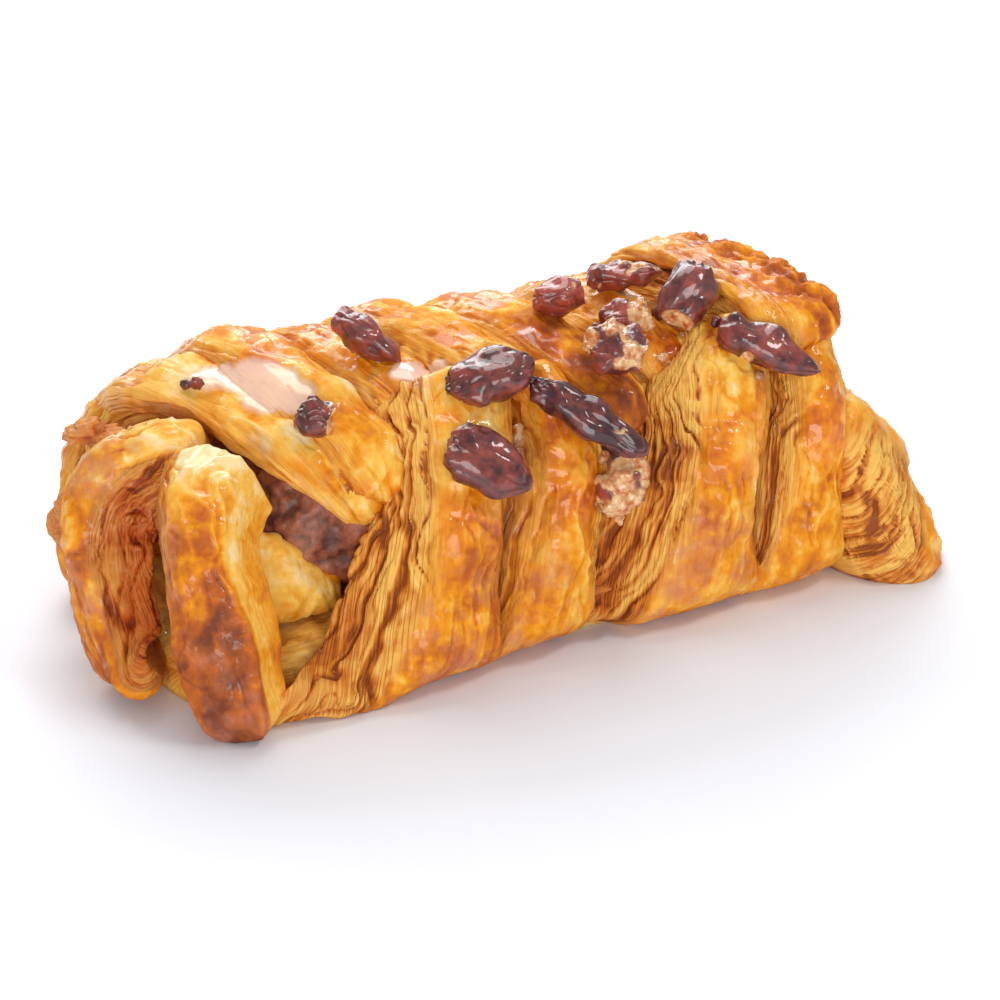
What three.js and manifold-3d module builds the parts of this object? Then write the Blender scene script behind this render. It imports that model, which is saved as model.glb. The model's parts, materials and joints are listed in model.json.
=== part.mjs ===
// Pecan plait, a braided Danish pastry: one sheet of laminated dough, slit into strips down both sides,
// with the strips folded in turn over a log of nut filling, and broken pecans baked onto the crown.
// Millimetres, +Z up. X runs along the plait with its open end at -X, -Y is the near side, and the
// table is z = 0.
import * as THREE from "three";
import { mergeVertices } from "three/addons/utils/BufferGeometryUtils.js";
import Module from "manifold-3d";

const wasm = await Module();
wasm.setup();

// Loaf: the rounded section that the strips climb, as a polar curve about an axis above the table
const HALF_WIDTH = 34;
const HEIGHT = 48.5;
const AXIS_HEIGHT = 19;
const CROWN_POWER = 2.4;
const FOOT_POWER = 7;

// Plan centre of the finished plait's box, which becomes the origin
const CENTRE = [-2.73, -1.5];

// Strips: how a cut ribbon of dough has risen. Its crust is domed, the sheets of its cut faces stand in
// and out, and its ends are rounded over these lengths down to a share of the full section.
const CROWN_RISE = 2.4;
const SHEET_DEPTH = 0.65;
const SHEET_SPREAD = [0.6, 1.4];
const FOOT_ROUND = 9;
const TIP_ROUND = 4;
const END_SHARE = 0.45;
const STRIP_STEPS = 13;
const CRUST_POINTS = 6;
const FACE_POINTS = 5;
const UNDER_POINTS = 2;
const STRIP_SIDES = CRUST_POINTS + 2 * FACE_POINTS + UNDER_POINTS;

// Logs along the loaf: how their ends close, as the share left at the very end and the power of the curve
const LOG_END_SHARE = 0.25;
const LOG_END_POWER = 6;

// Base: the uncut middle of the sheet, flat on the table
const BASE_ENDS = [-67, 69];
const BASE_HALF_WIDTH = 25;
const BASE_THICK = 10;
const BASE_POWER = 4;
const BASE_STEPS = 12;
const BASE_SIDES = 20;

// Far end: the sheet's other short end, turned up into a roll across the loaf that leans back on it
const FAR_ENDS = [-40, 37];
const FAR_MIDDLE = 62.5;
const FAR_HALF_WIDTH = 11.5;
const FAR_TOP = 26;
const FAR_LEAN = 5;
const FAR_POWER = 2.6;
const FAR_STEPS = 18;
const FAR_SIDES = 22;

// Filling: a log of nut paste inside the strips
const FILLING_ENDS = [-55, 66];
const FILLING_HALF_WIDTH = 22;
const FILLING_FLOOR = 9;
const FILLING_TOP = 36;
const FILLING_POWER = 2.6;
const FILLING_STEPS = 14;
const FILLING_SIDES = 16;
const GAP = 0.35;

// Flap: the sheet's short end, a tongue of pale dough turned in at the open end
const FLAP_ROOT = [-64, -20, 24];
const FLAP_TIP = [-39, -19.5, 14.5];
const FLAP_FACING = [-0.2, -0.75, 0.63];
const FLAP_WIDTH = [17, 8];
const FLAP_THICK = 6;
const FLAP_ROUND_FROM = 0.7;
const FLAP_TIP_SHARE = 0.38;
const FLAP_STEPS = 6;
const FLAP_SIDES = 12;

// Clean joins: points closer than this are one, and the largest step smoothed away along a seam
const SAME_POINT = 1e-3;
const SEAM_STEP = 0.08;

// Block of table that the flat underside is cut with: plan size and depth
const TABLE_SIZE = 400;
const TABLE_DEPTH = 100;

// Small steps of angle and of length that give a curve's direction
const ANGLE_STEP = 0.01;
const SHARE_STEP = 0.02;

// Headings in plan: the way that a strip's foot lies from the loaf's axis
const NEAR = -90;
const BACK = 90;

// Each strip: the plan point that it climbs from, its heading, and its angles about the axis at foot and
// tip (0 is level with the axis, 90 the ridge). Then at foot, middle and tip: its slide along the loaf, the
// width of its crust, its thickness, how far it stands proud of the loaf, and how far its left and right
// cut faces lean out.
const STRIPS = [
  { name: "end_back", from: [-40, 6], heading: 140, angle: [-31, 58], slide: [0, 2, 4],
    crust: [16, 14, 12], thick: [8, 11, 9], proud: [2, 2, -6], left: [2, 2, 2], right: [2, 2, 2] },
  { name: "end_left", from: [-44, -1], heading: 184, angle: [-38, 58], slide: [14, -3, 6],
    crust: [12, 13, 12], thick: [9, 11, 10], proud: [1, 1, -4], left: [2, 3, 3], right: [2, 3, 3] },
  { name: "end_near", from: [-43.4, -2.6], heading: 236, angle: [-27, 54], slide: [2, -6, -6],
    crust: [11, 12, 13], thick: [8, 11, 10], proud: [9, 1, -5], left: [2, 2, 2], right: [2, 3, 3] },
  { name: "near_1", from: [0, 0], heading: NEAR, angle: [-54, 62], slide: [-33, -22, -12],
    crust: [24, 19, 14], thick: [8, 11, 10], proud: [12, 0, 1], left: [16, 8, 7], right: [2, 2, 2] },
  { name: "near_2", from: [0, 0], heading: NEAR, angle: [-54, 62], slide: [-13, -6, -2],
    crust: [18, 14, 9], thick: [8, 11, 10], proud: [9.5, -1, -1], left: [2, 3, 3], right: [5, 3, 2] },
  { name: "near_3", from: [0, 0], heading: NEAR, angle: [-54, 62], slide: [16, 26, 36.5],
    crust: [24, 17, 13], thick: [8, 12, 11], proud: [10.5, 0, 1], left: [12, 8, 6], right: [2, 2, 2] },
  { name: "near_4", from: [0, 0], heading: NEAR, angle: [-54, 62], slide: [38, 46, 52],
    crust: [18, 14, 10], thick: [8, 11, 10], proud: [9.5, -1, -1], left: [2, 3, 3], right: [3, 2, 2] },
  { name: "back_1", from: [0, 0], heading: BACK, angle: [-50, 164], slide: [-54, -56, -32],
    crust: [18, 19, 11], thick: [8, 11, 9], proud: [0, -4, -4], left: [3, 3, 4], right: [2, 2, 2] },
  { name: "back_2", from: [0, 0], heading: BACK, angle: [-50, 160], slide: [-44, -43, -27],
    crust: [16, 17, 12], thick: [8, 11, 9], proud: [0, -1.5, -3.5], left: [3, 3, 3], right: [2, 2, 2] },
  { name: "back_3", from: [0, 0], heading: BACK, angle: [-50, 128], slide: [-31, -30, -19],
    crust: [17, 16, 12], thick: [8, 11, 9], proud: [-1, -1, -4], left: [3, 3, 3], right: [2, 2, 2] },
  { name: "back_4", from: [0, 0], heading: BACK, angle: [-50, 124], slide: [-18, -17, -5],
    crust: [18, 18, 12], thick: [8, 11, 10], proud: [0, 0, 0], left: [3, 3, 3], right: [2, 2, 2] },
  { name: "back_5", from: [0, 0], heading: BACK, angle: [-50, 150], slide: [-2, 1, 14],
    crust: [18, 18, 14], thick: [8, 11, 9], proud: [-1, -0.5, -3], left: [3, 3, 3], right: [2, 2, 2] },
  { name: "back_6", from: [0, 0], heading: BACK, angle: [-50, 126], slide: [15, 17, 27],
    crust: [18, 17, 14], thick: [8, 11, 9], proud: [0, 0, -3], left: [3, 3, 3], right: [2, 2, 2] },
  { name: "back_7", from: [0, 0], heading: BACK, angle: [-50, 134], slide: [32, 38, 52],
    crust: [22, 25, 18], thick: [8, 12, 11], proud: [0, 2, 2.5], left: [3, 3, 3], right: [3, 5, 6] },
];

// Pecans: each piece's place along the loaf, angle about its axis and lift off the loaf, then its length,
// width and height, its turn in the loaf's surface from +X towards the ridge, its tip out of that surface,
// and where its broken end cuts its half length (1 is whole).
const PECANS = [
  { along: -25.6, angle: 85, lift: 1, size: [13.5, 6.5, 6], turn: -47, tip: -30, cut: 1 },
  { along: -41.5, angle: 56, lift: -1.6, size: [7, 6.5, 6], turn: -38, tip: 0, cut: 0.6 },
  { along: -12.4, angle: 54, lift: 2, size: [15.5, 10.5, 8], turn: 0, tip: 12, cut: 1 },
  { along: -17.8, angle: 29, lift: 1.5, size: [15, 10, 7], turn: -42, tip: 5, cut: 1 },
  { along: 1.6, angle: 36, lift: 1.4, size: [23, 7, 7], turn: -48, tip: 4, cut: 1 },
  { along: 10.8, angle: 85, lift: 2, size: [10.5, 7.5, 7], turn: -12, tip: 8, cut: 0.7 },
  { along: 25.4, angle: 91, lift: 2, size: [13, 6.5, 6], turn: -22, tip: 3, cut: 1 },
  { along: 20.2, angle: 70, lift: 0.3, size: [9.5, 7, 6], turn: -8, tip: 8, cut: 0.6 },
  { along: 12.2, angle: 54, lift: 2, size: [12.5, 11, 8], turn: -37, tip: 0, cut: 0.7 },
  { along: 31, angle: 70, lift: 3, size: [14, 10, 9], turn: -140, tip: -30, cut: 0.8 },
  { along: 38.6, angle: 44, lift: 2, size: [19, 7.5, 6.5], turn: -44, tip: 2, cut: 1 },
  { along: 6, angle: 13, lift: -1.5, size: [13, 8, 8], turn: -130, tip: 0, cut: 0.7 },
];
const PECAN_SIDES = 12;
const PECAN_STEPS = 8;
const PECAN_GROOVE = 0.22;
const PECAN_GROOVE_POWER = 8;
const PECAN_LUMPS = 0.07;
const PECAN_LUMP_TURNS = 3;
const PECAN_LUMP_RUN = 5;
const PECAN_TAPER = 0.15;

const radians = THREE.MathUtils.degToRad;
const lerp = THREE.MathUtils.lerp;

// A repeatable number from 0 to 1 for a pair of counters.
function chance(a, b) {
  const wave = Math.sin(a * 127.1 + b * 311.7) * 43758.5453;
  return wave - Math.floor(wave);
}

// A smooth value through three given at shares 0, 0.5 and 1.
function through([foot, middle, tip], share) {
  const bend = 2 * (foot - 2 * middle + tip);
  return foot + share * (tip - foot - bend) + share * share * bend;
}

// The loaf's section at an angle about its axis: x is the distance out from the axis, y the height.
function section(angle, proud = 0) {
  const up = Math.sin(angle) > 0;
  const rise = up ? HEIGHT - AXIS_HEIGHT : AXIS_HEIGHT;
  const power = up ? CROWN_POWER : FOOT_POWER;
  const across = Math.abs(Math.cos(angle) / HALF_WIDTH) ** power;
  const upright = Math.abs(Math.sin(angle) / rise) ** power;
  const reach = (across + upright) ** (-1 / power) + proud;
  return new THREE.Vector2(reach * Math.cos(angle), AXIS_HEIGHT + reach * Math.sin(angle));
}

// A geometry with only its shared positions left.
function closed(geometry) {
  geometry.deleteAttribute("normal");
  geometry.deleteAttribute("uv");
  return mergeVertices(geometry, SAME_POINT);
}

// The geometry as a solid, turned right side out if its frame was mirrored.
function solid(geometry) {
  const triVerts = new Uint32Array(geometry.index.array);
  const vertProperties = geometry.getAttribute("position").array;
  const made = new wasm.Manifold(new wasm.Mesh({ numProp: 3, vertProperties, triVerts }));
  if (made.volume() > 0) return made;
  triVerts.reverse();
  return new wasm.Manifold(new wasm.Mesh({ numProp: 3, vertProperties, triVerts }));
}

// A closed skin: a capped cylinder whose points are carried to place(share, side, onRing), by their share of
// its length, their side and whether they are on its ring or in the middle of a cap.
function skin(steps, sides, place) {
  const geometry = new THREE.CylinderGeometry(1, 1, 1, sides, steps);
  const points = geometry.getAttribute("position");
  for (let i = 0; i < points.count; i++) {
    const onRing = Math.hypot(points.getX(i), points.getZ(i)) > 0.5;
    const turn = Math.atan2(points.getX(i), points.getZ(i)) / (2 * Math.PI);
    const side = Math.round((turn + 1) * sides) % sides;
    const spot = place(0.5 - points.getY(i), side, onRing);
    points.setXYZ(i, spot.x, spot.y, spot.z);
  }
  return solid(closed(geometry));
}

// The plan directions of a heading: out from the loaf's axis, and along it towards +X.
function planWays(heading) {
  const turn = radians(heading);
  const out = new THREE.Vector3(Math.cos(turn), Math.sin(turn), 0);
  const along = new THREE.Vector3(-out.y, out.x, 0);
  if (along.x < -SAME_POINT) along.negate();
  return { out, along };
}

// Where a strip's crust runs at a share of its length, and the way it faces there.
function stripSpot(strip, share) {
  const { out, along } = planWays(strip.heading);
  const angle = radians(lerp(strip.angle[0], strip.angle[1], share));
  const proud = through(strip.proud, share);
  const here = section(angle, proud);
  const climb = section(angle + ANGLE_STEP, proud).sub(section(angle - ANGLE_STEP, proud)).normalize();
  const spot = new THREE.Vector3(strip.from[0], strip.from[1], here.y);
  spot.addScaledVector(out, here.x).addScaledVector(along, through(strip.slide, share));
  const facing = new THREE.Vector3(0, 0, -climb.x).addScaledVector(out, climb.y);
  return { spot, facing };
}

// One point of a strip's ring, across and above the middle of its crust: the domed crust, a cut face whose
// sheets stand in and out by turns, the underside, and the other cut face.
function ringSpot(side, size, seed) {
  const half = size.crust / 2;
  if (side < CRUST_POINTS) {
    const across = 1 - (2 * side) / (CRUST_POINTS - 1);
    return { across: half * across, above: -CROWN_RISE * across * across };
  }
  const under = side - CRUST_POINTS - FACE_POINTS;
  if (under >= 0 && under < UNDER_POINTS) {
    const across = lerp(-half - size.left, half + size.right, (under + 0.5) / UNDER_POINTS);
    return { across, above: -size.thick };
  }
  const onLeft = under < 0;
  const sheet = onLeft ? side - CRUST_POINTS : STRIP_SIDES - 1 - side;
  const down = (sheet + 1) / FACE_POINTS;
  const ruffle = (sheet % 2 ? 1 : -1) * SHEET_DEPTH * lerp(...SHEET_SPREAD, chance(sheet, seed));
  const across = half + (onLeft ? size.left : size.right) * down + ruffle;
  return { across: onLeft ? -across : across, above: lerp(-CROWN_RISE, -size.thick, down) };
}

// A strip as a solid: its ring carried along its line, drawn in at its rounded ends.
function stripSolid(strip, seed) {
  const length = stripSpot(strip, 0).spot.distanceTo(stripSpot(strip, 0.5).spot) * 2;
  const { along } = planWays(strip.heading);
  return skin(STRIP_STEPS, STRIP_SIDES, (share, side, onRing) => {
    const { spot, facing } = stripSpot(strip, share);
    const next = stripSpot(strip, share + SHARE_STEP).spot;
    const ahead = next.sub(stripSpot(strip, share - SHARE_STEP).spot).normalize();
    const across = ahead.clone().cross(facing).normalize();
    if (across.dot(along) < 0) across.negate();
    const above = facing.addScaledVector(ahead, -ahead.dot(facing)).normalize();
    const near = Math.min(1, (share * length) / FOOT_ROUND, ((1 - share) * length) / TIP_ROUND);
    const full = lerp(END_SHARE, 1, Math.sqrt(1 - (1 - near) ** 2));
    const size = {
      crust: through(strip.crust, share) * full,
      thick: through(strip.thick, share) * full,
      left: through(strip.left, share) * full,
      right: through(strip.right, share) * full,
    };
    const at = onRing ? ringSpot(side, size, seed) : { across: 0, above: -size.thick / 2 };
    const sunk = ((1 - full) * through(strip.thick, share)) / 2;
    return spot.addScaledVector(across, at.across).addScaledVector(above, at.above - sunk);
  });
}

// A log along X between two ends, with a rounded-square ring from floor to top that closes towards each
// end. The function carry takes each of its points to where the log lies.
function logSolid(steps, sides, [left, right], halfWidth, floor, top, power, carry = (spot) => spot) {
  const middle = (floor + top) / 2;
  const halfHeight = (top - floor) / 2;
  return skin(steps, sides, (share, side, onRing) => {
    const x = lerp(left, right, 0.5 - 0.5 * Math.cos(Math.PI * share));
    const toEnd = Math.abs(2 * (x - left) / (right - left) - 1);
    const full = onRing ? lerp(1, LOG_END_SHARE, toEnd ** LOG_END_POWER) : 0;
    const turn = (2 * Math.PI * side) / sides;
    const round = Math.abs(Math.cos(turn)) ** power + Math.abs(Math.sin(turn)) ** power;
    const reach = round ** (-1 / power);
    const y = halfWidth * full * reach * Math.cos(turn);
    return carry(new THREE.Vector3(x, y, middle + halfHeight * full * reach * Math.sin(turn)));
  });
}

// The base's log, whose lower half lies under the table and is cut off with it.
function baseSolid() {
  const half = BASE_HALF_WIDTH;
  return logSolid(BASE_STEPS, BASE_SIDES, BASE_ENDS, half, -BASE_THICK, BASE_THICK, BASE_POWER);
}

// The far end's roll: a log turned to lie across the loaf, its upper edge leaning back.
function farSolid() {
  const carry = ({ x, y, z }) => new THREE.Vector3(FAR_MIDDLE - y - (FAR_LEAN * z) / FAR_TOP, x, z);
  return logSolid(FAR_STEPS, FAR_SIDES, FAR_ENDS, FAR_HALF_WIDTH, -FAR_TOP, FAR_TOP, FAR_POWER, carry);
}

// A tongue from the flap's root to its narrower tip, with rounded edges.
function flapSolid() {
  const root = new THREE.Vector3(...FLAP_ROOT);
  const tip = new THREE.Vector3(...FLAP_TIP);
  const above = new THREE.Vector3(...FLAP_FACING).normalize();
  const across = tip.clone().sub(root).cross(above).normalize();
  return skin(FLAP_STEPS, FLAP_SIDES, (share, side, onRing) => {
    const turn = (2 * Math.PI * side) / FLAP_SIDES;
    const toTip = Math.max(0, share - FLAP_ROUND_FROM) / (1 - FLAP_ROUND_FROM);
    const full = onRing ? Math.sqrt(lerp(1, FLAP_TIP_SHARE ** 2, toTip)) : 0;
    const half = (lerp(FLAP_WIDTH[0], FLAP_WIDTH[1], share) / 2) * full;
    const spot = root.clone().lerp(tip, share);
    spot.addScaledVector(across, half * Math.cos(turn));
    return spot.addScaledVector(above, (FLAP_THICK / 2) * full * Math.sin(turn));
  });
}

// The filling's log, grown by a clearance.
function fillingSolid(grow) {
  const ends = [FILLING_ENDS[0] - grow, FILLING_ENDS[1] + grow];
  const half = FILLING_HALF_WIDTH + grow;
  const floor = FILLING_FLOOR - grow;
  const top = FILLING_TOP + grow;
  return logSolid(FILLING_STEPS, FILLING_SIDES, ends, half, floor, top, FILLING_POWER);
}

// Where a pecan lies: on the loaf's near slope or ridge, its X along its length and its Z out of the crust.
function pecanFrame(pecan) {
  const angle = radians(pecan.angle);
  const here = section(angle, pecan.lift);
  const climb = section(angle + ANGLE_STEP).sub(section(angle - ANGLE_STEP)).normalize();
  const { out, along } = planWays(NEAR);
  const uphill = new THREE.Vector3(0, 0, climb.y).addScaledVector(out, climb.x);
  const frame = new THREE.Matrix4().makeBasis(along, uphill, along.clone().cross(uphill));
  frame.multiply(new THREE.Matrix4().makeRotationZ(radians(pecan.turn)));
  frame.multiply(new THREE.Matrix4().makeRotationY(radians(-pecan.tip)));
  const centre = new THREE.Vector3(0, 0, here.y).addScaledVector(out, here.x);
  return frame.setPosition(centre.addScaledVector(along, pecan.along));
}

// A pecan piece, grown by a clearance: a ball drawn out along its length, tapered, furrowed along its back
// and broken off at one end.
function pecanSolid(pecan, seed, grow) {
  const frame = pecanFrame(pecan);
  const half = new THREE.Vector3(...pecan.size).multiplyScalar(0.5).addScalar(grow);
  const geometry = new THREE.SphereGeometry(1, PECAN_SIDES, PECAN_STEPS);
  const points = geometry.getAttribute("position");
  for (let i = 0; i < points.count; i++) {
    const length = Math.min(points.getY(i), pecan.cut);
    const turn = Math.atan2(points.getX(i), points.getZ(i));
    const round = Math.hypot(points.getX(i), points.getZ(i));
    const furrow = PECAN_GROOVE * Math.cos(turn / 2) ** PECAN_GROOVE_POWER;
    const wave = PECAN_LUMP_TURNS * turn + PECAN_LUMP_RUN * length + seed;
    const lumps = PECAN_LUMPS * Math.sin(wave);
    const girth = round * (1 - PECAN_TAPER * length) * (1 - furrow + lumps);
    const spot = new THREE.Vector3(length, girth * Math.sin(turn), girth * Math.cos(turn));
    spot.multiply(half).applyMatrix4(frame);
    points.setXYZ(i, spot.x, spot.y, spot.z);
  }
  return solid(closed(geometry));
}

// What lies above the table: the same solid cut flat at z = 0.
function aboveTable(body) {
  const table = new THREE.BoxGeometry(TABLE_SIZE, TABLE_SIZE, TABLE_DEPTH).translate(0, 0, -TABLE_DEPTH / 2);
  return body.subtract(solid(closed(table)));
}

// The largest single body, its outer skin only: loose scraps go and sealed hollows fill.
function largest(body) {
  return body.decompose().sort((a, b) => b.volume() - a.volume())[0];
}

// The solid's triangles as a geometry.
function geometryOf(body) {
  const { vertProperties, triVerts } = body.getMesh();
  const geometry = new THREE.BufferGeometry();
  geometry.setAttribute("position", new THREE.BufferAttribute(vertProperties, 3));
  geometry.setIndex(new THREE.BufferAttribute(triVerts, 1));
  geometry.computeVertexNormals();
  return geometry;
}

// A named piece of the plait.
function meshOf(name, body, material) {
  const mesh = new THREE.Mesh(geometryOf(body), material);
  mesh.name = name;
  return mesh;
}

const crustMaterial = new THREE.MeshStandardMaterial({ color: 0xc98a3c, roughness: 0.45 });
const fillingMaterial = new THREE.MeshStandardMaterial({ color: 0x8a5230, roughness: 0.7 });
const pecanMaterial = new THREE.MeshStandardMaterial({ color: 0x5a2a24, roughness: 0.3 });

let dough = aboveTable(wasm.Manifold.union([...STRIPS.map(stripSolid), baseSolid(), farSolid()]));
dough = dough.subtract(fillingSolid(GAP)).add(flapSolid().subtract(fillingSolid(GAP)));
PECANS.forEach((pecan, i) => {
  dough = dough.subtract(pecanSolid(pecan, i, GAP));
});
dough = largest(solid(closed(geometryOf(dough.simplify(SEAM_STEP)))));

const loaf = new THREE.Group();
loaf.position.set(-CENTRE[0], -CENTRE[1], 0);
loaf.add(meshOf("dough", dough, crustMaterial));
loaf.add(meshOf("filling", fillingSolid(0), fillingMaterial));
PECANS.forEach((pecan, i) => {
  loaf.add(meshOf(`pecan_${i + 1}`, pecanSolid(pecan, i, 0), pecanMaterial));
});

const plait = new THREE.Group();
plait.add(loaf);

export default plait;
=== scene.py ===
"""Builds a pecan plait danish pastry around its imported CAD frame, with its stage, light and camera."""

import json
from collections import namedtuple

import bpy
import numpy as np
from mathutils import Matrix, Vector

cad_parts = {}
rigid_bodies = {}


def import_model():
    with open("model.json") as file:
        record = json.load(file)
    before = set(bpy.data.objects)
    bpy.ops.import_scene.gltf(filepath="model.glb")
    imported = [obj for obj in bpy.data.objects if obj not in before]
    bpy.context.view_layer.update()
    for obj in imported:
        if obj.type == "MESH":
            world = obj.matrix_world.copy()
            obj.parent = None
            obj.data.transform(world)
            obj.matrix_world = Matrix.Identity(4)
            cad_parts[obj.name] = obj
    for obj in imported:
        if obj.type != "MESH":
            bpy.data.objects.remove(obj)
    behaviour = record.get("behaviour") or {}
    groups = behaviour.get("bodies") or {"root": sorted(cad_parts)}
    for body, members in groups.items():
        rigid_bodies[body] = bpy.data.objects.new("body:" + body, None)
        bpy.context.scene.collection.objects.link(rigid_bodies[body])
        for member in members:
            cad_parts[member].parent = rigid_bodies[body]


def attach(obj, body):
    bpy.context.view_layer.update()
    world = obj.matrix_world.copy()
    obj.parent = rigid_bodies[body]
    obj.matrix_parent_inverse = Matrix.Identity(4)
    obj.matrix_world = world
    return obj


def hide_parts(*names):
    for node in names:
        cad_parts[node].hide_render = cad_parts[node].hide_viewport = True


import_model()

bl_info = {
    "name": "Pecan plait",
    "version": (1, 0, 0),
    "blender": (4, 5, 0),
    "location": "3D View > Sidebar > Pecan plait",
    "description": "Builds a pecan plait danish pastry from numpy surfaces",
    "category": "Add Mesh",
}

# Lengths are in millimetres of the loaf's own frame until a mesh is made. A pair named SPAN, FROM, SIDES,
# CUT or HEIGHTS holds where a change starts and where it ends, and a pair named SIZE holds a noise's
# lengths along a strip and across it. A number added to a seed only keeps noises apart.
METRES = 0.001
CENTRE = np.array([-2.73, -1.5, 0.0])
UP = np.array([0.0, 0.0, 1.0])

# The loaf's section, the same one that the CAD strips lie on.
CROWN_POWER = 2.4
FOOT_POWER = 7.0

# How high a strip's crust is domed, and how the loaf's sides are tucked in at the table.
CROWN_RISE = 2.4
TUCK_HEIGHT = 8.0
TUCK_DEPTH = 6.5
TUCK_SIDES = (8, 20)
TUCK_FROM = (-48, -30)

# How a strip's ends round off, and how its mesh is spread.
FOOT_ROUND = 9.0
TIP_ROUND = 3.5
TUCKED_TIP_ROUND = 9.0
END_POWER = 2.6
STRIP_ROWS = 210
CRUST_COLUMNS = 66
LEFT_COLUMNS = 88
UNDER_COLUMNS = 8
RIGHT_COLUMNS = 46
SHOULDER_PASSES = 10
ROW_CROWDING = 0.55

# Small steps that give a curve's direction, and the least length and lean that count.
LINE_STEP = 0.02
TURN_STEP = 0.01
SPOT_STEP = 0.5
SHORTEST = 1e-9
LEAST_LEAN = 0.001

# How a strip's section changes: its swaying edges, its flat and calm foot, and its cut faces.
EDGE_SWAY = 1.2
EDGE_SWAY_RUN = 8
FOOT_SPAN = (0.2, 0.5)
FOOT_DOME = 0.12
FOOT_CALM = 0.45
SIDE_SPAN = (-2, 2)
SIDES_APART = 40
CUT_SPAN = (1.2, 2.8)
TABLE_GAP = 0.05
GRAIN_APART = 20.0

# The sheets of a cut face: how the gaps between them run, and the heights that they take away.
GAP_REACH = 0.26
SHEET_TOP = 0.8
SHEET_LEVEL = 0.45
SHEETS_SHOWN = 1.5
SHEET_WARP = 1.6
SHEET_WARP_SIZE = (13, 9)
SHEET_WAVE = 0.35
SHEET_WAVE_SIZE = (2.6, 1.5)
WIDE_GAP = 0.55
WIDE_GAP_SIZE = (28, 1.25)
THIN_GAP = 0.3
THIN_GAP_SIZE = (18, 0.7)
LENS_GAP = 0.4
LENS_SIZE = (15, 1.6)
LENS_SPAN = (0.3, 0.62)
BUNDLE = 0.24
BUNDLE_SIZE = (11, 3.4)
FRAY = 0.14
FRAY_SIZE = (1.6, 0.8)
LOW_GAP = 0.4
HIGH_GAP = 0.2
GAP_SPAN = (0.3, 0.6)

# The crust: lumps, flake plates, folds along the strip and short cracks.
LUMP_SIZE = 12
SMALL_LUMP = 0.42
SMALL_LUMP_SIZE = 4.2
PLATE = 0.3
PLATE_SIZE = 9
LOW_PLATE_SPAN = (-0.34, -0.24)
HIGH_PLATE_SPAN = (0.2, 0.3)
SIDEWAYS = np.array([0.0, 1.0, 0.0])
FOLD_HEIGHT = 0.7
FOLD_POWER = 3
FOLD_SWAY = 1.2
FOLD_SWAY_SIZE = (8, 8)
WIDE_FOLD = 0.65
WIDE_FOLD_SIZE = (13, 4.6)
THIN_FOLD = 0.35
THIN_FOLD_SIZE = (6, 2.1)
CRACK_DEPTH = 0.4
CRACK_SIZE = (8, 2.6)
CRACK_SWAY = 0.8
CRACK_SWAY_SIZE = (5, 5)
CRACK_KEPT_SIZE = (9, 7)
CRACK_KEPT_SPAN = (-0.1, 0.3)

# Bark at the left of a crust: its ragged edge, and fibres parted by wide and thin gaps.
BARK_SPAN = (0.25, -0.2)
BARK_FROM = (0.3, 0.45)
BARK_STEEP = 5
BARK_SHOWN = 0.7
BARK_RAGGED = 0.25
BARK_RAGGED_SIZE = (8, 3)
FIBRE_TOP = 0.9
FIBRE_LEVEL = 0.65
FIBRE_SWAY = 0.96
FIBRE_SWAY_RUN = 10
WIDE_FIBRE = 0.45
WIDE_FIBRE_SIZE = (22, 1.2)
THIN_FIBRE = 0.3
THIN_FIBRE_SIZE = (14, 0.7)

# The net of holes on a crust: where it lies, its cells, and the depth and rim of a hole.
NET_SPAN = (-0.1, 0.45)
NET_FROM = (0.5, 0.62)
NET_RAGGED = 0.3
NET_RAGGED_SIZE = 7
HOLE_CELL = 2.1
HOLE_SPAN = (0.62, 0.4)
HOLE_SHIFT = 0.5
HOLE_DEPTH = 0.9
HOLE_RIM = 0.35

# How much more or less a strip is baked low down, high up, at the table and in its net of holes, and the
# painted shade and painted highlight on it.
LOW_TOAST = 0.35
LOW_TOAST_SPAN = (0.15, 0.6)
HIGH_PALE = 0.25
HIGH_PALE_SPAN = (0.55, 0.8)
# Painted shade deep in a cut face.
DEEP_SHADE = 0.3
DEEP_SHADE_SPAN = (3, 9)
TABLE_TOAST = 0.12
TABLE_TOAST_SPAN = (0, 5)
# Painted highlight: the crust is made paler at its edges.
EDGE_HIGHLIGHT = 0.14
EDGE_HIGHLIGHT_SPAN = (0.7, 1.0)
# Painted shade in the valleys between folds and a painted highlight on their crests.
FOLD_SHADE_AND_HIGHLIGHT = 0.5
FOLD_LEVEL = 0.42
# Painted shade in the crust's cracks.
CRACK_SHADE = 0.2
# Painted shade in the pits of the holes.
HOLE_SHADE = 0.15
NET_TOAST = 0.17

# Glaze, syrup, icing pools and blush on a strip.
WET_SIZE = 10
WET_SPAN = (-0.25, 0.25)
WET_HEIGHTS = (18, 30)
NET_DRY = 0.8
GLAZE_COAT = 0.8
SYRUP = 0.7
END_SYRUP = 0.2
POOL_SMOOTH = 0.12
POOL_RISE = 0.5
BLUSH_SIZE = 9
BLUSH_SPAN = (-0.1, 0.35)
BLUSH_FADE = 11.0

# Headings in plan, in degrees, of the strips on the near side and on the back.
NEAR = -90
BACK = 90

# A strip's looks: how far the sheets show on its left and right cut faces, how far those faces are
# baked, the share of the crust's width from the left that has bark, its share of holes and of doming,
# and the height that the blush on its crust reaches.
Looks = namedtuple("Looks", "left_sheets right_sheets left_toast right_toast bark holes dome blush",
                   defaults=(0.5, 0.4, 0.5, 0.5, 0.2, 0.0, 1.4, 24))

# A strip of dough: its start and heading in plan, its values at the foot, the middle and the tip, and
# its looks.
Strip = namedtuple("Strip", "name start heading angle slide crust thick proud left right toast looks")

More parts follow.
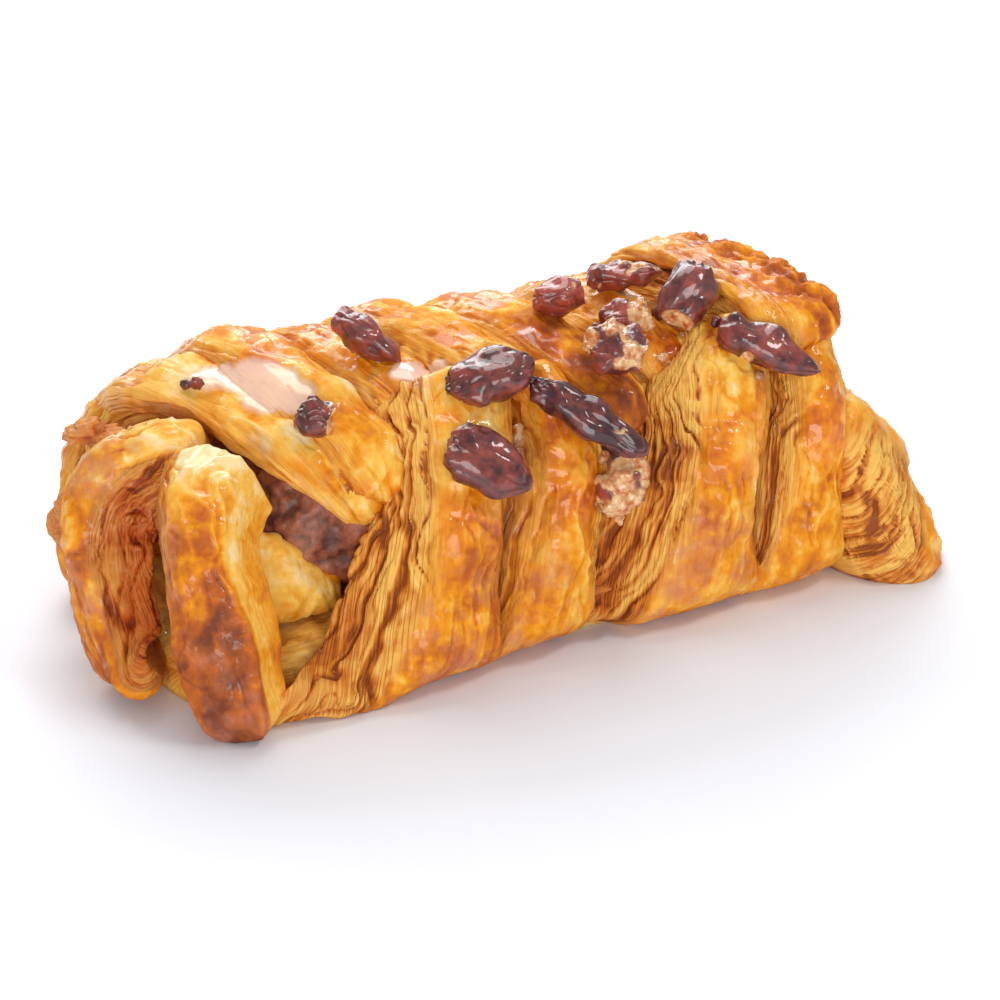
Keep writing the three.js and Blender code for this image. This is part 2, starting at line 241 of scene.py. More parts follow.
STRIPS = (
    Strip("end_back", (-40, 6), 140, (-31, 58), (0, 2, 4), (16, 14, 12), (8, 11, 9), (2, 2, -6),
          (2, 2, 2), (2, 2, 2), (0.7, 0.55, 0.4), Looks()),
    Strip("end_left", (-44, -1), 184, (-34, 58), (15, -3, 6), (10, 11, 12), (9, 11, 10), (1, 1, -4),
          (2, 3, 3), (1.5, 5, 4), (0.78, 0.55, 0.1), Looks(0.3, 0.7, 0.5, 1.25, 0.15, 0.0, 1.4, 46)),
    Strip("end_near", (-43.4, -2.6), 236, (-27, 54), (2, -6, -6), (11, 12, 13), (8, 11, 10), (9, 1, -5),
          (2, 2, 2), (2, 3, 3), (0.98, 0.78, -0.35), Looks(0.35, 0.08, 0.8, 0.25, 0.0, 0.0, 1.3, 22)),
    Strip("near_1", (0, 0), NEAR, (-54, 62), (-32.5, -23.5, -15), (26, 15.5, 18), (8, 11, 10), (15, 0.5, 1.5),
          (30, 6.5, 8), (2, 2, 2), (0.56, 0.6, -0.05), Looks(1.0, 0.3, 0.3, 0.85, 0.16, 0.0, 1.5)),
    Strip("near_2", (0, 0), NEAR, (-54, 62), (-19, -3, -0.5), (18, 14, 9.5), (8, 11, 10), (9.5, -1, -1.5),
          (2, 3, 3), (1, 3, 2), (0.5, 0.55, 0.46), Looks(0.3, 0.6, 0.6, 0.6, 0.15, 0.0, 1.8)),
    Strip("near_3", (0, 0), NEAR, (-54, 62), (16.5, 26, 36.5), (26, 17, 13), (8, 12, 11), (10.5, 0, 1),
          (18, 8, 6), (2, 2, 2), (0.56, 0.46, 0.25), Looks(1.0, 0.3, 0.35, 0.8, 0.2, 0.0, 1.6)),
    Strip("near_4", (0, 0), NEAR, (-54, 62), (38, 46, 52), (21, 14, 10), (8, 11, 10), (9.5, -1, -1),
          (2, 3, 3), (3, 2, 2), (0.48, 0.46, 0.4), Looks(0.6, 0.6, 0.5, 0.6, 0.2, 0.0, 1.8)),
    Strip("back_1", (0, 0), BACK, (-50, 166), (-54, -52.5, -31), (18, 16, 9), (8, 7, 6), (0, -2.5, -12),
          (3, 0, -2), (2, 2, 2), (0.54, 0.24, 0.4), Looks(0.4, 0.3, 0.4, 0.5, 0.15, 0.0, 1.3)),
    Strip("back_2", (0, 0), BACK, (-50, 158), (-44, -43, -30), (16, 17, 12), (8, 10, 8), (0, 0.8, -9),
          (3, 3, 2), (2, 2, 2), (0.54, 0.44, 0.48), Looks(0.6, 0.3, 0.85, 0.5, 0.18, 0.0, 1.5)),
    Strip("back_3", (0, 0), BACK, (-50, 128), (-31, -30, -19), (17, 16, 12), (8, 11, 9), (-1, -1, -4),
          (3, 3, 3), (2, 2, 2), (0.54, 0.46, 0.5), Looks()),
    Strip("back_4", (0, 0), BACK, (-50, 124), (-18, -17, -5), (18, 18, 12), (8, 11, 10), (0, 0, 0),
          (3, 3, 3), (2, 2, 2), (0.54, 0.4, 0.32), Looks()),
    Strip("back_5", (0, 0), BACK, (-50, 150), (-2, 1, 14), (18, 18, 12), (8, 11, 9), (-1, -0.5, -4),
          (3, 3, 3), (2, 2, 2), (0.54, 0.46, 0.9), Looks()),
    Strip("back_6", (0, 0), BACK, (-50, 126), (15, 19, 27), (18, 20, 14), (8, 11, 9), (0, -1, -4),
          (3, 3, 3), (2, 2, 2), (0.54, 0.44, 0.5), Looks()),
    Strip("back_7", (0, 0), BACK, (-50, 134), (37, 42.5, 49), (30, 17, 17), (8, 12, 11), (0, 2, 2.5),
          (3, 3, 3), (2, 1, 0), (0.54, 0.46, 0.6), Looks(0.8, 0.7, 0.4, 0.6, 0.2, 1.0, 0.3)),
)

# A strip's rings before relief: their points; each point's place along the strip, across it, below its
# crown, and beside its middle as a share of the crust's half width; each row's share of the way and how
# full it is; and how far each column is hidden underneath.
Rings = namedtuple("Rings", "points along across depth beside share full hidden")

# A pecan piece: where it lies, its full size, its turns in degrees, how far it is whole, its tone
# from dark to light, how much of it is broken open, its taper and its number of lumps along.
Pecan = namedtuple("Pecan", "along angle lift size turn tip cut tone bare taper lumps")

PECANS = (
    Pecan(-25.6, 85, 1, (13.5, 6.5, 6), -47, -30, 1, 0.6, 0.1, 0.15, 2),
    Pecan(-41.5, 56, -1.6, (7, 6.5, 6), -38, 0, 0.6, 0.35, 0.2, 0.1, 2),
    Pecan(-12.4, 54, 2, (15.5, 10.5, 8), 0, 12, 1, 0.36, 0.05, 0.1, 2),
    Pecan(-17.8, 29, 1.5, (15, 10.5, 6.5), -42, 5, 1, 0.4, 0.0, 0.3, 1.4),
    Pecan(1.6, 36, 1.4, (23, 7.0, 6.6), -48, 4, 1, 0.15, 0.0, 0.05, 3),
    Pecan(10.8, 85, 2, (10.5, 7.5, 7), -12, 8, 0.7, 1.0, 0.15, 0.1, 2),
    Pecan(25.4, 91, 2, (13, 6.5, 6), -22, 3, 1, 0.6, 0.4, 0.15, 3),
    Pecan(20.2, 70, 0.3, (9.5, 7, 6), -8, 8, 0.6, 0.8, 1.0, 0.1, 2),
    Pecan(12.2, 54, 2, (12.5, 11, 8), -37, 0, 0.7, 0.5, 0.75, 0.1, 3),
    Pecan(31, 70, 2, (14, 10, 9), -140, -22, 0.8, 0.4, 0.0, 0.1, 1),
    Pecan(38.6, 44, 2, (19, 7.5, 6.5), -44, 2, 1, 0.4, 0.0, 0.3, 2),
    Pecan(6, 13, -1.5, (13, 8, 8), -130, 0, 0.7, 0.8, 1.1, 0.1, 3),
)

PECAN_ROWS = 96
PECAN_COLUMNS = 80
PECAN_GROOVE = 0.22
PECAN_GROOVE_POWER = 8
PECAN_LUMPS = 0.07
PECAN_LUMP_TURNS = 3
PECAN_LUMP_RUN = 5
PECAN_SEGMENTS = 0.07

# A pecan's skin: long wrinkles, lumps and grain, and its bare flesh and ragged end.
PECAN_STRETCH = np.array([0.16, 1, 1])
PECAN_APART = 31.0
WRINKLE_SIZE = 2.3
WRINKLE_POWER = 6
WRINKLE_DEPTH = 0.35
MOST_LUMPS = 2
SMOOTH_SKIN = 0.45
SKIN_LUMPS = 0.55
SKIN_LUMP_SIZE = 5.5
SKIN_GRAIN = 0.06
SKIN_GRAIN_SIZE = 1.2
BREAK_EDGE = 0.02
BARE_APART = 13.0
BARE_SIZE = 5
BARE_SPAN = (0.0, 0.15)
BARE_SHARE = 1.2
BARE_LEVEL = 0.9
FLESH_ROUGH = 0.6
FLESH_SIZE = 2.2
FLESH_DEPTH = 0.2
RAGGED_END = 0.9
RAGGED_SPAN = (-0.5, -0.85)
RAGGED_STRETCH = np.array([0.5, 1, 1])
RAGGED_SIZE = 2.5
POLE_CALM = 4

# A log: a superellipse ring swept along X between its ends, where it narrows to a share of itself.
Log = namedtuple("Log", "name ends half_width floor top power end_share rows columns")

BASE = Log("plait_base", (-69, 69), 27, -10, 10, 4, 0.8, 180, 120)
ROLL = Log("plait_far_roll", (-40, 37), 11.5, -28.5, 28.5, 2.6, 0.25, 240, 220)
FILLING = Log("plait_filling", (-55, 61), 22, 9, 36, 2.6, 0.25, 200, 130)
LOG_END_POWER = 6
LOG_CLOSE_POWER = 40

# The height of a sheet's edge that lies level with a cut face of the base or the tongue.
CUT_LEVEL = 0.4

# The base: its sheets, lumps and bake.
BASE_SEED = 71
BASE_GAP = 0.2
BASE_EDGE_SPAN = (0.5, 2.0)
BASE_SHEETS = 1.1
BASE_LUMPS = 0.7
BASE_LUMP_SIZE = 6
BASE_TOAST = 0.4
BASE_FACE = 0.5
BASE_GRAIN = 300

# The far roll: how it stands, where its ends are cut, how the sheets of a cut lie, and its seam.
ROLL_SEED = 81
ROLL_MIDDLE = 62.5
ROLL_LEAN = 6
ROLL_PEAK = 0.35
ROLL_FOOT = 0.9
ROLL_NEAR_LEAN = 0.5
ROLL_NEAR_SPAN = (-8, -34)
ROLL_WAVE = 0.1
ROLL_WAVE_RUN = 13
ROLL_NEAR_CUT = (-26, -32)
ROLL_BACK_CUT = (24, 30)
ROLL_CORE = (56, 12)
ROLL_SLANT = (0.7, -0.72)
ROLL_OUTER = (0.86, -0.3)
ROLL_SHEETS = 1.2
ROLL_SHEETS_FROM = 40
ROLL_SHEETS_SCALE = 0.8
ROLL_GAP = 0.3
ROLL_SKIN_SPAN = (8.5, 10.5)
ROLL_SKIN_RAGGED = 1.5
ROLL_SKIN_SIZE = 6
ROLL_SEAM_HEIGHT = 14
ROLL_SEAM_WAVE = 5
ROLL_SEAM_RUN = 16
ROLL_SEAM_SPAN = (1.4, 0)
ROLL_SEAM_DEPTH = 0.5
ROLL_STEP_SPAN = (-1, 1)
ROLL_STEP = 1.1
ROLL_OUTSIDE_SPAN = (62, 66)
ROLL_TABLE_SPAN = (0, 1.5)
ROLL_TOAST = 0.44
ROLL_CUT_TOAST = 0.42
ROLL_LOW_TOAST = 0.3
ROLL_LOW_SPAN = (0, 6)
# Painted shade in the roll's sunk seam.
ROLL_SEAM_SHADE = 0.3
ROLL_MOTTLE = 0.15
ROLL_MOTTLE_SIZE = 16
ROLL_LAYER = 0.06
ROLL_GLAZE = 0.2
ROLL_GRAIN = 320

# The filling: its grains and lumps.
FILLING_SEED = 95
FILLING_GRAIN_SIZE = 1.9
FILLING_GRAIN = 0.7
FILLING_GRAIN_LEVEL = 0.6
FILLING_LUMPS = 1.1
FILLING_LUMP_SIZE = 5
# Where grains heap up the paste is lighter; between them it takes painted shade.
FILLING_HEAP = 1.15
FILLING_HEAP_LUMPS = 0.4

# The sheet below the slits: its ends along the loaf, where its outside stands at both, and its height.
Skirt = namedtuple("Skirt", "name ends outside top")

SKIRTS = (
    Skirt("plait_skirt_left", (-38, -11), (-37.0, -36.6), 9),
    Skirt("plait_skirt_right", (10, 49), (-37.0, -36.2), 9),
)
SKIRT_THICK = 7
SKIRT_LEAN = 4.0
SKIRT_POWER = 3
SKIRT_ROWS = 200
SKIRT_COLUMNS = 120
SKIRT_SEED = 101
SKIRT_SEED_STEP = 9
SKIRT_END_POWER = 14
SKIRT_WAVE = 3
SKIRT_WAVE_RUN = 9
SKIRT_LOW_END = 0.1
SKIRT_LOW_SPAN = (0, 0.4)
SKIRT_SWAY = 0.9
SKIRT_SWAY_RUN = 11
SKIRT_LUMPS = 0.7
SKIRT_LUMP_SIZE = 13
SKIRT_ROUGH = 0.12
SKIRT_ROUGH_SIZE = 3
SKIRT_TOAST = 0.46
SKIRT_LOW_TOAST = 0.12
SKIRT_LOW_TOAST_SPAN = (0, 4)
SKIRT_MOTTLE = 0.2
SKIRT_MOTTLE_SIZE = 14
SKIRT_GLAZE = 0.1
SKIRT_GRAIN = 340

# The tongue: a slab of dough inside the open end.
TONGUE_ROOT = np.array([-64, -20, 24.0])
TONGUE_TIP = np.array([-39, -19.5, 14.5])
TONGUE_FACING = np.array([-0.2, -0.75, 0.63])
TONGUE_WIDTH = (17, 8)
TONGUE_THICK = 6
TONGUE_ROUND_FROM = 0.7
TONGUE_TIP_SHARE = 0.25
TONGUE_ROWS = 110
TONGUE_COLUMNS = 110
TONGUE_SEED = 91
TONGUE_BLUNT_POWER = 24
TONGUE_RING = 0.6
TONGUE_RUN = 27
TONGUE_GAP = 0.4
TONGUE_CUT_SPAN = (0.3, -0.2)
TONGUE_CRUST = 0.8
TONGUE_SHEETS = 0.9
TONGUE_TOAST = (0.15, 0.4)
TONGUE_GRAIN = 360

# Crumbs: their place along and around the near side, their size, and 1 for pale or 0 for dark ones.
CRUMBS = (
    (-7.4, 40, 4.4, 1), (-9.5, 31, 3.0, 0.4), (17, 79, 2.6, 0), (14.5, 74, 2.2, 0), (19, 61, 3.0, 1),
    (22, 80, 2.6, 1), (-43, 62, 1.8, 0), (-53.6, 98, 2.4, 0), (-54.8, 101, 1.7, 0), (33, 57, 2.4, 0),
    (28, 76, 2.6, 0), (3.5, 17, 2.6, 0), (9, 8, 2.8, 1), (8, 2, 2.2, 0.5), (11, 20, 2.2, 1),
    (36, 38, 2.0, 0.6), (24, 58, 2.2, 1), (-3, 52, 2.0, 0.5), (16, 66, 2.4, 0.2), (5, 24, 2.0, 0.7),
)
CRUMB_ROWS = 10
CRUMB_COLUMNS = 12
CRUMB_SEED = 400
CRUMB_APART = 7.0
CRUMB_LUMPS = 0.45
CRUMB_LUMP_SIZE = 0.9
CRUMB_TONE = 0.4

# How far around a crumb's line, and how far along it, the strips are searched for the crumb's rest.
SETTLE_REACH = 0.8
SETTLE_DEPTH = 14.0

# Torn lumps at the open end: their middles and half sizes.
BURRS = (
    ((-75.0, 6.4, 21.8), (3.0, 3.8, 6.0)),
    ((-70.0, 8.4, 37.0), (3.4, 3.2, 2.2)),
)
BURR_ROWS = 60
BURR_COLUMNS = 70
BURR_SEED = 431
BURR_ROUGH = 0.5
BURR_ROUGH_SIZE = 0.75
BURR_TERRACE = 0.12
BURR_TERRACE_SPAN = (-0.1, 0.1)
BURR_TERRACE_WAY = np.array([1, 1, 5.0])
BURR_LAYER = 0.55
BURR_FACE = 0.6
BURR_TOAST = 0.8
BURR_BLUSH = 0.6

# Pools of glaze: their place along and around the loaf, and their half lengths along and uphill.
GLAZE_POOLS = (
    (-50, 98, 4.5, 4.5),
    (-48, 91, 5, 5),
    (-46, 84, 5, 5),
    (-44, 77, 5, 5),
    (-42, 70, 4.5, 4.5),
    (-20, 71, 6, 3.5),
    (-29, 61, 3, 5),
)
POOL_SEED = 201
POOL_DEPTH = 7.0
POOL_UNEVEN = 0.16
POOL_UNEVEN_SIZE = 6
POOL_SPAN = (0.0, 0.12)
POOL_NEAR = -0.6

# The materials: sizes of their noises in millimetres, the spans that they use, and their strengths.
NOISE_SPAN = (0.3, 0.7)
FINE_DETAIL = 4.0
MOTTLE = 0.22
MOTTLE_SIZE = 8
STREAK = 0.06
STREAK_SIZE = (5, 1.6)
SPECK = 0.07
SPECK_SIZE = 1.3
FLAKE = 0.13
FLAKE_SIZE = 3.0
FLAKE_SPAN = (0.5, 0.64)
FLAKE_BUMP = 0.4
CHAR = 0.12
CHAR_SIZE = 4.5
CHAR_SPAN = (0.52, 0.7)
BAKE_SCALE = 0.8
CRUST_STOPS = (0.0, 0.2, 0.42, 0.64, 0.95)
SHEET_STOPS = (0.08, 0.38, 0.75)
# Painted shade along thin slits in the sheets.
SLIT = 0.25
SLIT_SIZE = (14, 1.1)
SLIT_DETAIL = 2.0
SLIT_SPAN = (0.0, 0.08)
SLIT_BUMP = 2.5
SHEETS_DARKEN = 0.95
SHEETS_DARKEN_SPAN = (0.5, 1.6)
BLUSH_PATCH = (0.2, 0.65)
BLUSH_PATCH_SIZE = 2.2
BLUSH_PATCH_SPAN = (0.4, 0.6)
SYRUP_TINT = 0.85
# How far the painted reflection covers the pools of glaze.
POOL_REFLECTION_COVER = 0.6
GLAZE_ROUGHNESS = (0.62, 0.35)
GLINT = 0.6
GLINT_SIZE = 2.4
GLINT_SPAN = (0.54, 0.62)
CUT_SHINE = 0.35
ROUGH_SIZE = 1.4
ROUGH_STREAK = 0.5
ROUGH_STREAK_SIZE = (4, 1.2)
POOL_BUMP = 0.12
DOUGH_BUMP = 0.18
DOUGH_FINISH = {"Coat Roughness": 0.07, "Coat IOR": 1.5, "Specular IOR Level": 0.15}
PASTE = 0.25
PASTE_SIZE = 1.2
PASTE_STOPS = (0.2, 0.8)
PASTE_BUMP = 0.25
PASTE_BUMP_SIZE = 0.8
PASTE_FINISH = {"Roughness": 0.55, "Coat Weight": 0.3, "Coat Roughness": 0.25}
NUT_TONE = 0.5
NUT_TONE_SIZE = 2.5
# Painted shade in the pecans' wrinkles.
NUT_WRINKLE_SHADE = 0.6
NUT_FLESH_SIZE = 1.5
NUT_FLESH_STOPS = (0.35, 0.6)
NUT_BUMP = 0.2
NUT_BUMP_SIZE = 1.0
NUT_FINISH = {"Roughness": 0.4, "Coat Weight": 1.0, "Coat Roughness": 0.08, "Specular IOR Level": 0.3}

# The curve of display colours: a straight line up to its end, then a power with an offset.
STRAIGHT_END = 0.04045
STRAIGHT_SLOPE = 12.92
CURVE_OFFSET = 0.055
CURVE_POWER = 2.4

# The stage, in metres: the floor, the softboxes that look at the origin, and the camera's directions.
WHITE = (1.0, 1.0, 1.0, 1.0)
FLOOR_REACH = 3.0
FLOOR_HEIGHT = -0.0001
FLOOR_FINISH = {"Roughness": 0.6, "Specular IOR Level": 0.2}
Lamp = namedtuple("Lamp", "name place size power")

LAMPS = (
    Lamp("stage_back", (0.25, 1.1, 0.8), (1.3, 0.7), "back_power"),
    Lamp("stage_key", (0.12, 0.35, 0.95), (0.5, 0.5), "key_power"),
    Lamp("stage_fill", (-0.5, -0.85, 0.25), (0.8, 0.4), "fill_power"),
    Lamp("stage_glint", (0.45, -0.4, 0.85), (0.3, 0.15), "glint_power"),
)
CAMERA_BACK = (-0.4255, -0.8002, 0.4226)
CAMERA_RIGHT = (0.883, -0.469, 0.0)
CAMERA_TARGET = (0.00273, 0.0015, 0.01697)
CAMERA_SENSOR = 36
CAMERA_SHIFT = (0.003, -0.020)
CAMERA_CLIP = 0.01

# Noise: odd numbers and shifts that scramble a cell and a seed, and the count of the numbers used.
CELL_SCRAMBLE = (2376512323, 3625334849, 3407524639)
SEED_SCRAMBLE = 2654435761
FIRST_SCRAMBLE = np.uint32(739982445)
LAST_SCRAMBLE = np.uint32(695872825)
LONG_SHIFT = np.uint32(15)
SHORT_SHIFT = np.uint32(12)
NUMBER_COUNT = 4294967296
HALF_COUNT = 2147483647.5
OCTAVE_SEEDS = 17
SPOT_JITTER = 0.45
FAR_CELLS = 9.0
CORNERS = np.array([[x, y, z] for x in (0, 1) for y in (0, 1) for z in (0, 1)])
NEIGHBOURS = np.array([[x, y, z] for x in (-1, 0, 1) for y in (-1, 0, 1) for z in (-1, 0, 1)])


class PlaitSizes(bpy.types.PropertyGroup):
    """Sizes of the loaf and of its surface."""

    half_width: bpy.props.FloatProperty(
        name="Half width", description="Half of the loaf's width", default=0.034, unit="LENGTH")
    height: bpy.props.FloatProperty(
        name="Height", description="Height of the loaf's crown", default=0.0485, unit="LENGTH")
    axis_height: bpy.props.FloatProperty(
        name="Axis height", description="Height at which the loaf is widest", default=0.019, unit="LENGTH")
    sheet_pitch: bpy.props.FloatProperty(
        name="Sheet pitch", description="Distance between the dough's sheets", default=0.00115, unit="LENGTH")
    sheet_relief: bpy.props.FloatProperty(
        name="Sheet relief", description="How far the sheets stand out of a cut face", default=0.0019,
        unit="LENGTH")
    crust_lumps: bpy.props.FloatProperty(
        name="Crust lumps", description="Height of the crust's broad lumps", default=0.0009, unit="LENGTH")


class PlaitColours(bpy.types.PropertyGroup):
    """Colours of the crust, the sheets, the nuts, the glaze and the stage."""

    crust_pale: bpy.props.FloatVectorProperty(
        name="Pale crust", description="Least baked crust", default=(0.98, 0.87, 0.65),
        subtype="COLOR_GAMMA", size=3, min=0, max=1)
    crust_light: bpy.props.FloatVectorProperty(
        name="Light crust", description="Lightly baked crust", default=(0.97, 0.76, 0.34),
        subtype="COLOR_GAMMA", size=3, min=0, max=1)
    crust_gold: bpy.props.FloatVectorProperty(
        name="Golden crust", description="Well baked crust", default=(0.92, 0.58, 0.08),
        subtype="COLOR_GAMMA", size=3, min=0, max=1)
    crust_brown: bpy.props.FloatVectorProperty(
        name="Brown crust", description="Strongly baked crust", default=(0.76, 0.39, 0.13),
        subtype="COLOR_GAMMA", size=3, min=0, max=1)
    crust_dark: bpy.props.FloatVectorProperty(
        name="Dark crust", description="Toasted edges", default=(0.48, 0.24, 0.16),
        subtype="COLOR_GAMMA", size=3, min=0, max=1)
    crust_mauve: bpy.props.FloatVectorProperty(
        name="Mauve crust", description="Blush on the crust low down", default=(0.78, 0.48, 0.36),
        subtype="COLOR_GAMMA", size=3, min=0, max=1)
    # The sheets' own golden edge, lightened further as a painted highlight.
    sheet_edge_and_highlight: bpy.props.FloatVectorProperty(
        name="Sheet edge", description="Edges of the dough's sheets", default=(0.96, 0.74, 0.36),
        subtype="COLOR_GAMMA", size=3, min=0, max=1)
    sheet_middle: bpy.props.FloatVectorProperty(
        name="Sheet side", description="Sides of the dough's sheets", default=(0.84, 0.50, 0.17),
        subtype="COLOR_GAMMA", size=3, min=0, max=1)
    # Painted shade deep in the gaps between the sheets.
    sheet_gap_shade: bpy.props.FloatVectorProperty(
        name="Sheet gap shade", description="Depth of the gaps between the sheets", default=(0.60, 0.31, 0.12),
        subtype="COLOR_GAMMA", size=3, min=0, max=1)
    filling: bpy.props.FloatVectorProperty(
        name="Filling", description="Nut paste", default=(0.65, 0.37, 0.25),
        subtype="COLOR_GAMMA", size=3, min=0, max=1)
    # Painted shade in the hollows between the paste's grains.
    filling_shade: bpy.props.FloatVectorProperty(
        name="Filling shade", description="Depth of the nut paste", default=(0.36, 0.18, 0.13),
        subtype="COLOR_GAMMA", size=3, min=0, max=1)
    pecan_dark: bpy.props.FloatVectorProperty(
        name="Dark pecan skin", description="Darkest pecan skin", default=(0.25, 0.09, 0.11),
        subtype="COLOR_GAMMA", size=3, min=0, max=1)
    pecan_light: bpy.props.FloatVectorProperty(
        name="Light pecan skin", description="Lightest pecan skin", default=(0.65, 0.28, 0.22),
        subtype="COLOR_GAMMA", size=3, min=0, max=1)
    pecan_flesh: bpy.props.FloatVectorProperty(
        name="Pecan flesh", description="Broken pecan", default=(0.93, 0.76, 0.55),
        subtype="COLOR_GAMMA", size=3, min=0, max=1)
    # Painted reflection of the softbox on the glaze where it stands in pools.
    pool_reflection: bpy.props.FloatVectorProperty(
        name="Pool reflection", description="The glaze where it stands in pools", default=(0.96, 0.85, 0.81),
        subtype="COLOR_GAMMA", size=3, min=0, max=1)
    syrup: bpy.props.FloatVectorProperty(
        name="Syrup", description="Tint of the crust under the glaze", default=(1.0, 0.84, 0.28),
        subtype="COLOR_GAMMA", size=3, min=0, max=1)
    floor: bpy.props.FloatVectorProperty(
        name="Floor", description="The table top", default=(0.945, 0.955, 0.98),
        subtype="COLOR_GAMMA", size=3, min=0, max=1)


class PlaitStudio(bpy.types.PropertyGroup):
    """Light and camera of the stage."""

    back_power: bpy.props.FloatProperty(
        name="Back light", description="Power of the wide softbox behind", default=13.5, unit="POWER")
    key_power: bpy.props.FloatProperty(
        name="Key light", description="Power of the softbox above", default=3.0, unit="POWER")
    fill_power: bpy.props.FloatProperty(
        name="Fill light", description="Power of the softbox in front", default=4.9, unit="POWER")
    glint_power: bpy.props.FloatProperty(
        name="Glint light", description="Power of the small softbox above the near side", default=2.0,
        unit="POWER")
    world_strength: bpy.props.FloatProperty(
        name="Room light", description="Strength of the white room", default=0.41)
    camera_distance: bpy.props.FloatProperty(
        name="Camera distance", description="Distance of the camera from the loaf", default=0.4847,
        unit="LENGTH")
    camera_lens: bpy.props.FloatProperty(
        name="Lens", description="Focal length of the camera in millimetres", default=100.0)


def millimetres(length):
    """A length in metres as millimetres."""
    return length / METRES


def mix(first, second, share):
    """The value a share of the way from the first to the second."""
    return first + (second - first) * share


def ramp(low, high, value):
    """An S curve that rises from 0 at low to 1 at high."""
    share = np.clip((value - low) / (high - low), 0, 1)
    return share * share * (3 - 2 * share)


def through(values, share):
    """A parabola through the values at the foot, the middle and the tip."""
    foot, middle, tip = values
    bend = 2 * (foot - 2 * middle + tip)
    return foot + share * (tip - foot - bend) + share**2 * bend


def unit(vectors):
    """The vectors at length one."""
    return vectors / np.maximum(np.linalg.norm(vectors, axis=-1, keepdims=True), SHORTEST)


def lattice(cell, seed):
    """A scrambled value from -1 to 1 for each whole-number cell."""
    whole = cell.astype(np.int64).astype(np.uint32)
    mixed = np.uint32(int(seed) * SEED_SCRAMBLE % NUMBER_COUNT)
    for axis, scramble in enumerate(CELL_SCRAMBLE):
        mixed = mixed ^ (whole[..., axis] * np.uint32(scramble))
    mixed = (mixed ^ (mixed >> LONG_SHIFT)) * FIRST_SCRAMBLE
    mixed = (mixed ^ (mixed >> SHORT_SHIFT)) * LAST_SCRAMBLE
    mixed = mixed ^ (mixed >> LONG_SHIFT)
    return mixed / HALF_COUNT - 1


def noise(points, size, seed):
    """Smooth noise from -1 to 1: scrambled values on a grid of the given size, blended by S curves."""
    scaled = points / size
    cell = np.floor(scaled)
    part = scaled - cell
    blend = part**3 * (part * (part * 6 - 15) + 10)
    total = np.zeros(points.shape[:-1])
    for corner in CORNERS:
        weight = np.prod(np.where(corner, blend, 1 - blend), axis=-1)
        total += weight * lattice(cell + corner, seed)
    return total


def crumple(points, size, seed, octaves=3):
    """Noise with finer and weaker noise on top, each octave half the size and height of the last."""
    total = np.zeros(points.shape[:-1])
    for octave in range(octaves):
        total += noise(points, size / 2**octave, seed + OCTAVE_SEEDS * octave) / 2**octave
    return total


def bubbles(points, size, seed):
    """Distance, in cells of the given size, to the nearest of one scattered spot in each cell."""
    scaled = points / size
    cell = np.floor(scaled)
    nearest = np.full(points.shape[:-1], FAR_CELLS)
    for step in NEIGHBOURS:
        there = cell + step
        jitter = np.stack([lattice(there, seed + axis) for axis in range(3)], axis=-1)
        away = np.linalg.norm(scaled - there - 0.5 - SPOT_JITTER * jitter, axis=-1)
        nearest = np.minimum(nearest, away)
    return nearest


def field(*values):
    """Arrays of like shape as the coordinates of points."""
    return np.stack(np.broadcast_arrays(*values), axis=-1).astype(float)


def section(angle, proud, sizes):
    """The loaf's section: a superellipse about its axis, as distance out and height at an angle."""
    axis_height = millimetres(sizes.axis_height)
    above = np.sin(angle) > 0
    rise = np.where(above, millimetres(sizes.height) - axis_height, axis_height)
    power = np.where(above, CROWN_POWER, FOOT_POWER)
    out_part = np.abs(np.cos(angle) / millimetres(sizes.half_width)) ** power
    up_part = np.abs(np.sin(angle) / rise) ** power
    reach = (out_part + up_part) ** (-1 / power) + proud
    return reach * np.cos(angle), axis_height + reach * np.sin(angle)


def plan_ways(heading):
    """The directions out of the loaf and along it, towards its far end, for a heading in degrees."""
    turn = np.radians(heading)
    out = np.array([np.cos(turn), np.sin(turn), 0])
    along = np.array([-out[1], out[0], 0])
    if along[0] < -LEAST_LEAN:
        along = -along
    return out, along


def strip_line(strip, share, sizes):
    """The middle line of a strip and the direction that its crust faces."""
    out, along = plan_ways(strip.heading)
    angle = np.radians(mix(strip.angle[0], strip.angle[1], share))
    proud = through(strip.proud, share)
    reach, height = section(angle, proud, sizes)
    start = np.array([strip.start[0], strip.start[1], 0])
    spot = start + reach[:, None] * out + height[:, None] * UP
    spot = spot + through(strip.slide, share)[:, None] * along
    reach_on, height_on = section(angle + TURN_STEP, proud, sizes)
    reach_back, height_back = section(angle - TURN_STEP, proud, sizes)
    climb = unit(np.stack([reach_on - reach_back, height_on - height_back], axis=-1))
    facing = climb[:, 1:] * out - climb[:, :1] * UP
    return spot, facing


def ring_weights():
    """Around a strip: how much of each width and depth a column takes, with softened shoulders."""
    crust = np.linspace(-1, 1, CRUST_COLUMNS)
    right = np.linspace(0, 1, RIGHT_COLUMNS + 2)[1:-1]
    under = np.linspace(1, -1, UNDER_COLUMNS)
    left = np.linspace(1, 0, LEFT_COLUMNS + 2)[1:-1]
    half = np.concatenate([crust, np.ones_like(right), under, -np.ones_like(left)])
    lean_right = np.concatenate([0 * crust, right, (1 + under) / 2, 0 * left])
    lean_left = np.concatenate([0 * crust, 0 * right, (under - 1) / 2, -left])
    rise = np.concatenate([-crust**2, right - 1, 0 * under, left - 1])
    thick = np.concatenate([0 * crust, -right, -np.ones_like(under), -left])
    hidden = np.concatenate([0 * crust, 0 * right, np.ones_like(under), 0 * left])
    weights = np.stack([half, lean_right, lean_left, rise, thick, hidden])
    for _ in range(SHOULDER_PASSES):
        weights = (np.roll(weights, 1, axis=1) + 2 * weights + np.roll(weights, -1, axis=1)) / 4
    return weights


